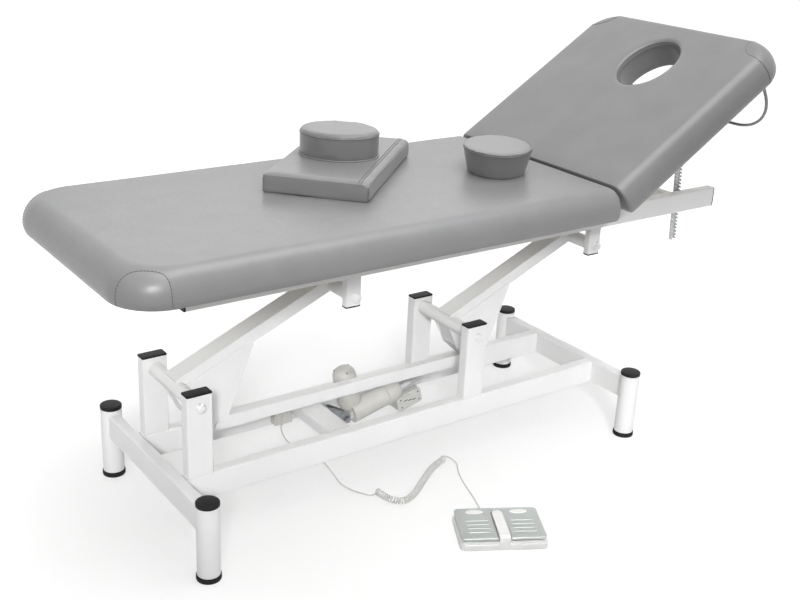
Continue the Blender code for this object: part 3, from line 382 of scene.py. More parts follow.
def both_ends(shape: Shape, half: float) -> Shape:
    """Return a shape that stands on Z 0 twice, looking outwards at both ends of a pin along Y."""
    pair = Shape()
    for y, turn in ((-half, math.pi / 2), (half, -math.pi / 2)):
        pair.add(shape.moved(placed((0.0, y, 0.0), turn, "X")))
    return pair


def and_back(path: list[Vector], axis: int) -> list[Vector]:
    """Return a path followed by its own mirror image across an axis, run backwards."""
    other = [point.copy() for point in reversed(path)]
    for point in other:
        point[axis] = -point[axis]
    return path + other


def full_turn(sides: int) -> list[Pair]:
    """Return the cosine and sine at even steps of a full turn."""
    turns = [2 * math.pi * step / sides for step in range(sides)]
    return [(math.cos(turn), math.sin(turn)) for turn in turns]


def quarter_turn(steps: int) -> list[Pair]:
    """Return the cosine and sine at even steps of a quarter turn, from the first step to the end."""
    turns = [math.pi / 2 * step / steps for step in range(1, steps + 1)]
    return [(math.cos(turn), math.sin(turn)) for turn in turns]


def loft(rings: Sequence[Sequence[Vector]], looped: bool = False, capped: bool = True) -> Shape:
    """Join rings of equally many points into one skin.

    Args:
        rings: The rings, in order.
        looped: Whether the last ring joins the first again.
        capped: Whether the first and last ring are closed with a face each.

    Returns:
        The skin.
    """
    count = len(rings[0])
    shape = Shape([Vector(point) for ring in rings for point in ring])
    spans = len(rings) if looped else len(rings) - 1
    for row in range(spans):
        low = row * count
        high = (row + 1) % len(rings) * count
        for i in range(count):
            j = (i + 1) % count
            shape.faces.append((low + i, low + j, high + j, high + i))
    if capped and not looped:
        shape.faces.append(tuple(reversed(range(count))))
        shape.faces.append(tuple(range((len(rings) - 1) * count, len(rings) * count)))
    return shape


def oval_ring(length: float, width: float, height: float, sides: int) -> list[Vector]:
    """Return a level oval ring of points about the Z axis, its length along X."""
    return [Vector((length / 2 * c, width / 2 * s, height)) for c, s in full_turn(sides)]


def lathe(profile: Iterable[Pair], sides: int) -> Shape:
    """Turn a profile of (radius, height) about the Z axis into a closed solid."""
    return loft([oval_ring(2 * radius, 2 * radius, height, sides) for radius, height in profile])


def rounded_ring(
    box: tuple[float, float, float, float],
    radii: tuple[float, float, float, float],
    height: float,
    steps: tuple[int, int, int],
) -> list[Vector]:
    """Return a level ring of points round a rectangle with rounded corners.

    Args:
        box: Low X, high X, low Y and high Y.
        radii: Corner radii at (high X, low Y), (high X, high Y), (low X, high Y) and (low X, low Y).
        height: Z of the ring.
        steps: Pieces that a side along X, a side along Y and a corner are divided into.

    Returns:
        The points, starting at the corner at high X and low Y, counter-clockwise from above.
    """
    x0, x1, y0, y1 = box
    room = max(min(x1 - x0, y1 - y0) / 2, 0.0)
    spots = ((x1, y0, -1, 1), (x1, y1, -1, -1), (x0, y1, 1, -1), (x0, y0, 1, 1))
    corners = []
    for k, (x, y, sx, sy) in enumerate(spots):
        radius = min(radii[k], room)
        start = math.pi / 2 * (k - 1)
        arc = []
        for step in range(steps[2] + 1):
            turn = start + math.pi / 2 * step / steps[2]
            arc_x = x + sx * radius + radius * math.cos(turn)
            arc_y = y + sy * radius + radius * math.sin(turn)
            arc.append(Vector((arc_x, arc_y, height)))
        corners.append(arc)
    ring = []
    for k, arc in enumerate(corners):
        ring += arc
        following = corners[(k + 1) % 4][0]
        count = steps[1] if k % 2 == 0 else steps[0]
        ring += [arc[-1].lerp(following, step / count) for step in range(1, count)]
    return ring


def rounded_outline(spots: Sequence[Triple], inset: float, steps: int = 6) -> list[Pair]:
    """Return a polygon with its corners rounded, set inwards.

    Args:
        spots: X, Y and corner radius of each corner, counter-clockwise.
        inset: How far the outline is set inwards.
        steps: Pieces that each corner is divided into.

    Returns:
        Points of the outline, equally many for any inset.
    """
    count = len(spots)
    lines = []
    for i in range(count):
        a = Vector(spots[i][:2])
        b = Vector(spots[(i + 1) % count][:2])
        along = (b - a).normalized()
        inwards = Vector((-along.y, along.x))
        lines.append((a + inwards * inset, along))
    outline = []
    for i in range(count):
        start, before = lines[i - 1]
        other, after = lines[i]
        turn = before.x * after.y - before.y * after.x
        gap = other - start
        corner = start + before * ((gap.x * after.y - gap.y * after.x) / turn)
        radius = max(spots[i][2] - math.copysign(inset, turn), 0.0003)
        half = math.atan2(abs(turn), before.dot(after)) / 2
        reach = radius * math.tan(half)
        first = corner - before * reach
        centre = first + Vector((-before.y, before.x)) * math.copysign(radius, turn)
        arm = first - centre
        for step in range(steps + 1):
            angle = math.copysign(2 * half * step / steps, turn)
            x = centre.x + arm.x * math.cos(angle) - arm.y * math.sin(angle)
            y = centre.y + arm.x * math.sin(angle) + arm.y * math.cos(angle)
            outline.append((x, y))
    return outline


def plate(size: Triple, corner: float, edge: float, steps: tuple[int, int, int] = (1, 1, 6)) -> Shape:
    """Return a level plate on Z 0 with rounded corners and a rounded upper edge.

    Args:
        size: Size along X, Y and Z.
        corner: Radius of the four upright corners.
        edge: Radius of the upper edge.
        steps: Divisions as in rounded_ring.

    Returns:
        The plate.
    """
    length, width, height = size
    stations = [(0.0, 0.3 * edge), (0.3 * edge, 0.0), (height - edge, 0.0)]
    stations += [(height - edge + edge * s, edge * (1 - c)) for c, s in quarter_turn(4)]
    rings = []
    for z, inset in stations:
        x = length / 2 - inset
        y = width / 2 - inset
        rings.append(rounded_ring((-x, x, -y, y), (max(corner - inset, 0.0004),) * 4, z, steps))
    return loft(rings)


def sweep(
    path: Sequence[Vector],
    ups: Sequence[Vector],
    section: Sequence[Pair],
    closed: bool = False,
) -> Shape:
    """Carry a section along a path.

    Args:
        path: Points of the path.
        ups: At each point, the way the section's own up points.
        section: Points of the section as (across, up), in order round it.
        closed: Whether the path is a loop.

    Returns:
        The swept solid, closed at both ends if the path isn't a loop.
    """
    rings = []
    last = len(path) - 1
    for i, (point, up) in enumerate(zip(path, ups)):
        after = path[(i + 1) % len(path)] if closed or i < last else path[i]
        before = path[i - 1] if closed or i > 0 else path[i]
        along = (after - before).normalized()
        across = along.cross(up).normalized()
        square_up = across.cross(along).normalized()
        rings.append([point + across * a + square_up * b for a, b in section])
    return loft(rings, looped=closed, capped=not closed)


def round_section(radius: float, sides: int) -> list[Pair]:
    """Return a round section for sweep."""
    return [(radius * c, radius * s) for c, s in full_turn(sides)]


def smooth_path(points: Sequence[Sequence[float]], spacing: float) -> list[Vector]:
    """Return evenly spaced points on a smooth curve through given route points.

    Args:
        points: Route points.
        spacing: Distance between the returned points.

    Returns:
        The points, the first and last of the route among them.
    """
    route = [Vector(point) for point in points]
    route = [2 * route[0] - route[1], *route, 2 * route[-1] - route[-2]]
    dense = []
    pieces = 32
    for a, b, c, d in zip(route, route[1:], route[2:], route[3:]):
        k1 = (b - a).length ** 0.5
        k2 = (c - b).length ** 0.5
        k3 = (d - c).length ** 0.5
        m1 = (c - b) + k2 * ((b - a) / k1 - (c - a) / (k1 + k2))
        m2 = (c - b) + k2 * ((d - c) / k3 - (d - b) / (k2 + k3))
        for step in range(pieces):
            t = step / pieces
            s = t * t
            w = s * t
            dense.append(b * (2 * w - 3 * s + 1) + m1 * (w - 2 * s + t) + c * (3 * s - 2 * w) + m2 * (w - s))
    dense.append(route[-2])
    return even_path(dense, spacing)


def even_path(dense: Sequence[Vector], spacing: float) -> list[Vector]:
    """Return points at an even spacing along a line of closely set points."""
    lengths = [0.0]
    for first, second in zip(dense, dense[1:]):
        lengths.append(lengths[-1] + (second - first).length)
    count = max(2, round(lengths[-1] / spacing))
    path = []
    index = 0
    for step in range(count + 1):
        target = lengths[-1] * step / count
        while index < len(dense) - 2 and lengths[index + 1] < target:
            index += 1
        span = max(lengths[index + 1] - lengths[index], 1e-9)
        path.append(dense[index].lerp(dense[index + 1], (target - lengths[index]) / span))
    return path


def make_piece(
    name: str,
    shape: Shape,
    finish: Finish,
    body: str,
    replaces: Sequence[str] = (),
    crease: float = 35.0,
) -> Object:
    """Turn a shape into a piece that rides on a body.

    Args:
        name: Name of the piece.
        shape: Its vertices and faces, in the row frame.
        finish: Its finish.
        body: CAD body that it moves with.
        replaces: CAD nodes that it stands for.
        crease: Angle in degrees over which an edge stays sharp.

    Returns:
        The piece's object.
    """
    mesh = bpy.data.meshes.new(name)
    work = bmesh.new()
    corners = [work.verts.new(point) for point in shape.points]
    for face in shape.faces:
        work.faces.new([corners[i] for i in face])
    bmesh.ops.remove_doubles(work, verts=work.verts, dist=0.02 * MM)
    bmesh.ops.dissolve_degenerate(work, edges=work.edges, dist=0.01 * MM)
    bmesh.ops.recalc_face_normals(work, faces=work.faces)
    work.to_mesh(mesh)
    work.free()
    mesh.polygons.foreach_set("use_smooth", [True] * len(mesh.polygons))
    mesh.set_sharp_from_angle(angle=math.radians(crease))
    piece = add_object(name, mesh)
    mesh.materials.append(PAINT(finish))
    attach(piece, body)
    if replaces:
        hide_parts(*replaces)
    LOG.info("%s: %d faces on body %s", name, len(mesh.polygons), body)
    return piece


@dataclass(frozen=True)
class Softbox:
    """A rectangular softbox that faces a target, with a grid where its spread is under 180 degrees."""

    name: str
    at: Triple
    target: Triple
    size: Pair
    watts: float
    spread: float = 180.0

    def hang(self) -> None:
        """Make the lamp."""
        data = bpy.data.lights.new(self.name, "AREA")
        data.shape = "RECTANGLE"
        data.size, data.size_y = self.size
        data.energy = self.watts
        data.spread = math.radians(self.spread)
        way = Vector(self.target) - Vector(self.at)
        turn = way.to_track_quat("-Z", "Y").to_matrix().to_4x4()
        add_object(self.name, data).matrix_world = Matrix.Translation(self.at) @ turn


# The key hangs over the pads, two weak fills stand at the head and the back, and a grid lights the base
LAMPS = (
    Softbox("key_softbox", (0.9, -0.3, 3.2), (0.8, 0.25, 0.6), (2.8, 1.8), 55.0),
    Softbox("head_side_softbox", (3.2, -1.9, 2.3), (0.9, 0.25, 0.6), (1.4, 1.4), 3.5),
    Softbox("back_softbox", (2.1, 2.9, 2.3), (0.7, 0.25, 0.7), (2.6, 1.8), 8.0),
    Softbox("grid_softbox", (-0.9, -2.2, 1.80), (0.60, 0.20, 0.22), (3.0, 0.8), 5.0, 14.0),
)


@dataclass
class Studio:
    """The camera at the photograph's viewing angle, a pale floor and soft lamps in a white surround."""

    eye: Triple = (-0.8885, -1.8115, 1.4325)
    yaw: float = math.radians(36.69)
    pitch: float = math.radians(-21.65)
    roll: float = math.radians(2.867)
    focal_px: float = 1134.39
    picture_px: float = 800.0
    sensor_mm: float = 36.0
    floor_size: float = 40.0
    floor_colour: str = "#bcbcbc"
    floor_lift: Pair = (0.50, 0.85)
    lift_span: Pair = (0.6, 1.5)
    ambient: float = 0.45

    def build(self) -> None:
        """Set up the view, the camera, the floor, the surround and the lamps."""
        bpy.context.scene.view_settings.view_transform = "Standard"
        self._camera()
        self._floor()
        self._surround()
        for lamp in LAMPS:
            lamp.hang()

    def _camera(self) -> None:
        """Place the camera, looking as the photograph does."""
        run = math.cos(self.pitch)
        forward = Vector((math.sin(self.yaw) * run, math.cos(self.yaw) * run, math.sin(self.pitch)))
        level = Vector((math.cos(self.yaw), -math.sin(self.yaw), 0.0))
        above = level.cross(forward)
        right = level * math.cos(self.roll) + above * math.sin(self.roll)
        top = above * math.cos(self.roll) - level * math.sin(self.roll)
        data = bpy.data.cameras.new("camera")
        data.sensor_fit = "HORIZONTAL"
        data.sensor_width = self.sensor_mm
        data.lens = self.focal_px * self.sensor_mm / self.picture_px
        camera = add_object("camera", data)
        turn = Matrix((right, top, -forward)).transposed().to_4x4()
        camera.matrix_world = Matrix.Translation(self.eye) @ turn
        bpy.context.scene.camera = camera

    def _floor(self) -> None:
        """Lay the floor: matt and pale, lifted to white for the camera, less so near the object's shadow."""
        half = self.floor_size / 2
        corners = [(x * half, y * half, 0.0) for x, y in ((-1, -1), (1, -1), (1, 1), (-1, 1))]
        mesh = bpy.data.meshes.new("floor")
        mesh.from_pydata(corners, [], [(0, 1, 2, 3)])
        floor = add_object("floor", mesh)
        material = bpy.data.materials.new("pale_floor")
        material.use_nodes = True
        tree = material.node_tree
        place = add_node(tree, "ShaderNodeTexCoord").outputs["Object"]
        away = add_node(tree, "ShaderNodeVectorMath", {"operation": "DISTANCE", 1: BASE_MIDDLE}, {0: place})
        spans = (*self.lift_span, *self.floor_lift)
        settings = dict(zip(("From Min", "From Max", "To Min", "To Max"), spans))
        spread = add_node(tree, "ShaderNodeMapRange", settings, {"Value": away.outputs["Value"]})
        lift = add_node(
            tree,
            "ShaderNodeMath",
            {"operation": "MULTIPLY"},
            {0: self._seen(tree), 1: spread.outputs["Result"]},
        )
        settings = {
            "Base Color": linear(self.floor_colour),
            "Roughness": 0.9,
            "Specular IOR Level": 0.0,
            "Emission Color": WHITE,
        }
        set_node(tree, tree.nodes["Principled BSDF"], settings, {"Emission Strength": lift.outputs["Value"]})
        mesh.materials.append(material)

    @staticmethod
    def _seen(tree: NodeTree) -> NodeSocket:
        """Return a socket that is 1 on camera, glossy and transmission rays."""
        rays = add_node(tree, "ShaderNodeLightPath")
        seen = rays.outputs["Is Camera Ray"]
        for kind in ("Is Glossy Ray", "Is Transmission Ray"):
            either = add_node(
                tree, "ShaderNodeMath", {"operation": "MAXIMUM"}, {0: seen, 1: rays.outputs[kind]}
            )
            seen = either.outputs["Value"]
        return seen

    def _surround(self) -> None:
        """Make the world white where it is seen or mirrored, and a softer fill where it lights."""
        world = bpy.data.worlds.new("white_surround")
        world.use_nodes = True
        bpy.context.scene.world = world
        tree = world.node_tree
        tree.nodes.clear()
        settings = {"To Min": self.ambient, "To Max": 1.0}
        level = add_node(tree, "ShaderNodeMapRange", settings, {"Value": self._seen(tree)})
        links = {"Strength": level.outputs["Result"]}
        sky = add_node(tree, "ShaderNodeBackground", {"Color": WHITE}, links)
        add_node(tree, "ShaderNodeOutputWorld", links={"Surface": sky.outputs["Background"]})


@dataclass
class CurlyCord:
    """The foot switch's cord: a plain lead from the junction box, a curled middle and a plain lead.

    The route's points are about the middle of the base.
    """

    diameter: float = 0.0035
    spacing: float = 0.004
    gap: float = 0.0003
    curl_radius: float = 0.007
    curls: float = 40.5
    points_per_curl: int = 16
    length: float = 2.371
    gland: Triple = (-0.2483, 0.0832, 0.107)
    curl_route: tuple[Pair, ...] = (
        (-0.129, -0.162),
        (-0.121, -0.207),
        (-0.099, -0.230),
        (-0.064, -0.221),
        (-0.008, -0.184),
        (0.051, -0.145),
        (0.105, -0.122),
    )

    def build(self) -> Object:
        """Lay the cord along its whole route as one curve.

        Returns:
            The cord's object.
        """
        line = self._line()
        data = bpy.data.curves.new("switch_cord", "CURVE")
        data.dimensions = "3D"
        data.bevel_depth = self.diameter / 2
        data.bevel_resolution = 3
        data.use_fill_caps = True
        spline = data.splines.new("POLY")
        spline.points.add(len(line) - 1)
        for spot, point in zip(spline.points, line):
            spot.co = (*point, 1.0)
        spline.use_smooth = True
        cord = add_object("switch_cord", data)
        data.materials.append(PAINT(CORD_PVC))
        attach(cord, "base")
        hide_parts("cord_lead_table", "cord_coil", "cord_lead_switch")
        LOG.info("switch_cord: %d points on body base", len(line))
        return cord

    @staticmethod
    def _level(way: Vector) -> Vector:
        """Return a direction made level and of length 1."""
        return Vector((way.x, way.y, 0.0)).normalized()

    def _line(self) -> list[Vector]:
        """Return the cord's middle line, from the junction box's gland to the switch's."""
        low = self.diameter / 2 + self.gap
        coil = self._coil()
        first_way = self._level(coil[0] - coil[1])
        last_way = self._level(coil[-1] - coil[-2])
        lead = 1.2 * self.diameter + self.gap
        start = coil[0] + first_way * lead
        end = coil[-1] + last_way * lead
        x, y, z = self.gland
        table_lead = [
            (x, y, z - self.gap),
            (x, y, z - 0.014),
            (x + 0.010, y - 0.009, z - 0.042),
            (-0.212, 0.038, 0.044),
            (-0.180, 0.000, 0.026),
            (-0.174, -0.039, 0.0095),
            (-0.177, -0.082, low + 0.0004),
            (-0.170, -0.120, low),
            (-0.156, -0.146, low),
            start + first_way * 0.012,
            start,
        ]
        turn = Matrix.Rotation(SWITCH_TURN, 4, "Z")
        switch_end = Vector(SWITCH_AT) + turn @ Vector(SWITCH_GLAND)
        switch_way = turn @ Vector((0.0, 1.0, 0.0))
        switch_lead = [
            end,
            end + last_way * 0.010,
            (0.118, -0.156, 0.0095),
            (0.104, -0.182, 0.0040),
            (0.086, -0.222, low),
            (0.072, -0.262, low),
            (0.058, -0.302, low + 0.0010),
            switch_end + switch_way * 0.014,
            switch_end,
        ]
        line = []
        for stretch in (smooth_path(table_lead, self.spacing), coil, smooth_path(switch_lead, self.spacing)):
            line += [Vector((p.x, p.y, max(p.z, low))) + Vector(BASE_MIDDLE) for p in stretch]
        return line

    def _coil(self) -> list[Vector]:
        """Return the curled middle: a helix about a smooth line that lies on the floor."""
        height = self.curl_radius + self.diameter / 2 + self.gap
        axis = smooth_path([(x, y, height) for x, y in self.curl_route], 0.001)
        steps = round(self.curls * self.points_per_curl)
        reach = 6
        coil = []
        for step in range(steps + 1):
            along = step / steps * (len(axis) - 1)
            index = min(int(along), len(axis) - 2)
            middle = axis[index].lerp(axis[index + 1], along - index)
            before = axis[max(index - reach, 0)]
            after = axis[min(index + 1 + reach, len(axis) - 1)]
            forward = (after - before).normalized()
            left = Vector((-forward.y, forward.x, 0.0))
            phase = -math.pi / 2 + 2 * math.pi * step / self.points_per_curl
            coil.append(middle + self.curl_radius * (left * math.cos(phase) + UP * math.sin(phase)))
        return coil


# Which carried-over CAD nodes show each finish, by the start of their names
NODE_FINISHES: tuple[tuple[Finish, tuple[str, ...]], ...] = (
    (POWDER_COAT, ("leg", "cross_", "long_rail", "upright", "lift_arm", "lower_pivot", "upper_pivot")),
    (POWDER_COAT, ("link_bar", "bed_", "hanger", "strut_guide")),
    (PLYWOOD, ("foot_board", "head_board")),
    (ZINC, ("actuator_clevis", "hinge")),
    (ANODISED, ("actuator_rod",)),
    (DRIVE_ABS, ("gear_housing", "junction_box")),
)


@dataclass
class CarriedNodes:
    """CAD nodes whose shape is right: they get a finish, smooth shading and softened edges."""

    edge: float = 0.8 * MM
    crease: float = math.radians(35.0)
    flat: float = math.radians(1.0)

    def dress(self) -> None:
        """Dress every CAD node that has a finish listed."""
        for name, node in frame["nodes"].items():
            for finish, starts in NODE_FINISHES:
                if name.startswith(starts):
                    self._dress_one(node, finish)

    def _dress_one(self, node: Object, finish: Finish) -> None:
        """Give one node its finish, and modifiers that join, soften and smooth its skin."""
        node.material_slots[0].material = PAINT(finish)
        node.data.polygons.foreach_set("use_smooth", [True] * len(node.data.polygons))
        weld = node.modifiers.new("weld", "WELD")
        weld.merge_threshold = 0.01 * MM
        flat = node.modifiers.new("flat", "DECIMATE")
        flat.decimate_type = "DISSOLVE"
        flat.angle_limit = self.flat
        soften = node.modifiers.new("soften", "BEVEL")
        soften.width = self.edge
        soften.segments = 2
        soften.limit_method = "ANGLE"
        soften.angle_limit = self.crease
        soften.harden_normals = False
        shade = node.modifiers.new("shade", "WEIGHTED_NORMAL")
        shade.keep_sharp = True
        LOG.info("%s: carried over in %s", node.name, finish.name)


class Corner(Enum):
    """The corners of a pad, numbered as rounded_ring goes round them."""

    HEAD_NEAR = 0
    HEAD_FAR = 1
    FOOT_FAR = 2
    FOOT_NEAR = 3


@dataclass
class Pad:
    """A foam pad on a board under taut vinyl: drawn-in lower edge, full side, rolled shoulder, low crown.

    Sizes are in the pad's own frame: X along the table, Y across about the middle, Z up from the underside.

    Attributes:
        name: Name of the piece.
        node: CAD node that it replaces.
        body: CAD body that it moves with.
        place: Matrix from the pad's own frame to the row frame.
        start, end: X of its two ends.
        start_corner, end_corner: Radii of the corners at each end, seen from above.
        start_reach, end_reach, side_reach: How far in the rolled shoulder reaches.
        start_power, end_power, side_power, rise_power: Fullness of the shoulder, 2 for an ellipse.
        seamed: Corners that have a sewn arch.
        half: Half its width.
        far_more: How much further its far side reaches.
        far_part: The far shoulder's reach as a share of the near one's.
        thickness: Height of its top.
        crown: How much higher the middle is.
        crown_from: Share of the height over which the crown sets in.
        wave, waves, wave_row: Height of the vinyl's slow waves, their count in a metre and the noise's row.
        corner_share, least_corner: How a corner's radius shrinks up the shoulder, and its least value.
        swell, draw, rise: Height of the fullest line, how far the edge below it is drawn in, and its t.
        seam_half, seam_shift: Half an arch's span, and its shift along the edge.
        seam_low, seam_top, seam_powers: An arch's lowest and highest t, and its fullness along and up.
        top_span: How far in one t runs on the flat top.
        proud: How far its start stands before the board's pocket.
        wrap, pocket, pocket_low: Vinyl round the board, and the pocket's upper and lower height.
        board_corner: Radius of the board's corners.
        steps: Divisions as in rounded_ring.
    """

    name: str
    node: str
    body: str
    place: Matrix
    start: float
    end: float
    start_corner: float
    end_corner: float
    start_reach: float
    end_reach: float
    start_power: float
    end_power: float
    seamed: tuple[Corner, ...]
    half: float = 0.307
    far_more: float = 0.012
    far_part: float = 0.5
    thickness: float = 0.072
    crown: float = 0.0012
    crown_from: float = 0.3
    wave: float = 0.0005
    waves: float = 7.0
    wave_row: float = 3.7
    side_reach: float = 0.042
    side_power: float = 2.1
    rise_power: float = 2.2
    corner_share: float = 0.4
    least_corner: float = 0.006
    swell: float = 0.016
    draw: float = 0.004
    rise: float = 0.2
    seam_half: float = 0.055
    seam_shift: float = 0.012
    seam_low: float = 0.02
    seam_top: float = 0.78
    seam_powers: Pair = (0.82, 0.66)
    top_span: float = 0.1
    proud: float = 0.0
    wrap: float = 0.007
    pocket: float = 0.0126
    pocket_low: float = 0.0004
    board_corner: float = 0.073
    steps: tuple[int, int, int] = (72, 36, 20)

    def station(self, t: float) -> tuple[float, float, float, float]:
        """Return the height, and the insets at the start, end and sides, at t up the skin.

        Args:
            t: 0 at the lower edge, 1 where the shoulder has become the flat top, more on the top itself.

        Returns:
            Height, start inset, end inset and side inset.
        """
        if t < self.rise:
            part = t / self.rise
            drawn = self.draw * (1 - part) ** 2
            return (self.swell * part, drawn, drawn, drawn)
        beyond = max(t - 1.0, 0.0) * self.top_span
        turn = math.pi / 2 * (min(t, 1.0) - self.rise) / (1 - self.rise)
        height = self.swell + (self.thickness - self.swell) * math.sin(turn) ** (2 / self.rise_power)
        run = max(math.cos(turn), 0.0)
        start = self.start_reach * (1 - run ** (2 / self.start_power))
        end = self.end_reach * (1 - run ** (2 / self.end_power))
        side = self.side_reach * (1 - run ** (2 / self.side_power))
        return (height, start + beyond, end + beyond, side + beyond)

    def ring(self, t: float) -> list[Vector]:
        """Return the ring of points round the pad at t up the skin."""
        height, start, end, side = self.station(t)
        return self.inset_ring(height, start, end, side, self.far_part * side)

    def inset_ring(self, height: float, start: float, end: float, side: float, far: float) -> list[Vector]:
        """Return a level ring, set in from the pad's outline by an inset for each side."""
        box = (self.start + start, self.end - end, -self.half + side, self.half + self.far_more - far)
        low = max(self.start_corner - self.corner_share * max(start, side), self.least_corner)
        high = max(self.end_corner - self.corner_share * max(end, side), self.least_corner)
        return rounded_ring(box, (high, high, low, low), height, self.steps)

    def surface(self, s: float, t: float) -> Vector:
        """Return the point of the skin at ring index s (with a fraction) and t up the skin."""
        ring = self.ring(t)
        index = math.floor(s)
        return ring[index % len(ring)].lerp(ring[(index + 1) % len(ring)], s - index)

    def skin_rings(self) -> list[list[Vector]]:
        """Return the rings of the skin from the lower edge to the shoulder's end."""
        count = 26
        return [self.ring(i / count) for i in range(count + 1)]

    def top_rings(self) -> list[list[Vector]]:
        """Return rings from the shoulder's end to the pad's middle line."""
        rings = []
        for part in (0.15, 0.3, 0.45, 0.6, 0.8, 1.0):
            more = (self.half - self.side_reach) * part
            far = self.far_part * self.side_reach
            far += (self.half + self.far_more - far) * part
            insets = [reach + more for reach in (self.start_reach, self.end_reach, self.side_reach)]
            rings.append(self.inset_ring(self.thickness, *insets, far))
        return rings

    def pocket_rings(self) -> list[list[Vector]]:
        """Return the outline of the space that holds the board, at its roof and at its mouth."""
        first = self.start + self.proud + self.wrap
        box = (first, self.end - self.wrap, -self.half + self.wrap, self.half - self.wrap)
        low = self.start_corner - self.wrap
        high = min(self.end_corner - self.wrap, self.board_corner)
        heights = (self.pocket, self.pocket_low)
        return [rounded_ring(box, (high, high, low, low), height, self.steps) for height in heights]

    def ease(self, rings: list[list[Vector]]) -> None:
        """Crown the skin and let it rise and fall slightly, as hand-stretched vinyl does."""
        for ring in rings:
            for point in ring:
                part = max(point.z / self.thickness - self.crown_from, 0.0) / (1 - self.crown_from)
                wave = noise.noise(Vector((point.x * self.waves, point.y * self.waves, self.wave_row)))
                point.z += part * (self.crown * (1 - (point.y / self.half) ** 2) + self.wave * wave)

    def skin(self) -> Shape:
        """Return the whole closed pad."""
        outer = self.skin_rings() + self.top_rings()
        self.ease(outer)
        middle = (self.start + self.half, self.end - self.half, 0.0, 0.0)
        roof = rounded_ring(middle, (0.0,) * 4, self.pocket, self.steps)
        return loft([roof, *self.pocket_rings(), *outer], capped=False)

    def build(self) -> Object:
        """Make the pad, and the sewn arches at its corners.

        Returns:
            The pad's object.
        """
        shape = self.skin().moved(self.place)
        pad = make_piece(self.name, shape, VINYL, self.body, (self.node,), crease=60.0)
        for corner in self.seamed:
            self._arch(corner)
        return pad

    def _arch(self, corner: Corner) -> None:
        """Sew the arched seam over one corner."""
        long_steps, short_steps, arc_steps = self.steps
        sides = (0, short_steps, short_steps + long_steps, 2 * short_steps + long_steps)
        number = corner.value
        radius = self.end_corner if number < 2 else self.start_corner
        reach = self.seam_half / (radius * math.pi / 2 / arc_steps)
        middle = sides[number] + number * arc_steps + arc_steps / 2
        middle += (1 if number % 2 else -1) * reach * self.seam_shift / self.seam_half
        along_power, up_power = self.seam_powers
        count = 72
        s_step = 0.3
        t_step = 0.01
        seam = []
        for i in range(count + 1):
            turn = math.pi * i / count
            s = middle - reach * math.copysign(abs(math.cos(turn)) ** along_power, math.cos(turn))
            t = self.seam_low + (self.seam_top - self.seam_low) * max(math.sin(turn), 0.0) ** up_power
            along = self.surface(s + s_step, t) - self.surface(s - s_step, t)
            rising = self.surface(s, t + t_step) - self.surface(s, t - t_step)
            seam.append((self.surface(s, t), along.cross(rising).normalized()))
        label = f"{self.name}_{corner.name.lower()}_seam"
        sew(label, even_seam(seam), self.place, self.body, fold=0.0011)


# Points along a seam, each with the outward direction of the surface that it lies on
Seam = list[tuple[Vector, Vector]]


def even_seam(seam: Seam) -> Seam:
    """Return a seam's points and outward directions at the even spacing of a seam."""
    even = []
    for point in even_path([spot for spot, _ in seam], SEAM_STEP):
        distances = [(spot - point).length_squared for spot, _ in seam]
        even.append((point, seam[distances.index(min(distances))][1]))
    return even


def sew(
    name: str,
    seam: Seam,
    place: Matrix,
    body: str,
    fold: float,
    closed: bool = False,
    stitched: bool = True,
) -> None:
    """Lay a sewn seam on a surface: a low fold of vinyl with a row of thread stitches along its crest.

    Args:
        name: Name of the seam; its thread adds _thread.
        seam: Points along the seam, about 2 mm apart.
        place: Matrix from the surface's own frame to the row frame.
        body: CAD body that the seam moves with.
        fold: Half the fold's width.
        closed: Whether the seam runs round to its start.
        stitched: Whether thread shows on it.
    """
    path, ups = zip(*seam)
    crest = [(0.75 * fold, 0.3 * fold), (0.0, 0.5 * fold), (-0.75 * fold, 0.3 * fold)]
    section = [(-fold, -0.3 * fold), (fold, -0.3 * fold), *crest]
    make_piece(name, sweep(path, ups, section, closed).moved(place), VINYL, body, crease=70.0)
    if not stitched:
        return
    # The thread's dark grey is partly painted shade of the fold that it lies in
    thread = Shape()
    length = len(path) if closed else len(path) - 1
    for i in range(0, length - 2, 3):
        thread.add(stitch(path[i], path[(i + 2) % len(path)], ups[i], 0.5 * fold))
    make_piece(f"{name}_thread", thread.moved(place), THREAD_AND_SEAM_SHADE, body, crease=70.0)


def stitch(first: Vector, second: Vector, up: Vector, lift: float, radius: float = 0.00065) -> Shape:
    """Return one stitch of thread between two points, sunk at both ends."""
    path = []
    for part, height in ((-0.1, -0.8), (0.1, 0.1), (0.5, 0.5), (0.9, 0.1), (1.1, -0.8)):
        path.append(first.lerp(second, part) + up * (lift + height * radius))
    return sweep(path, [up] * len(path), round_section(radius, sides=6))


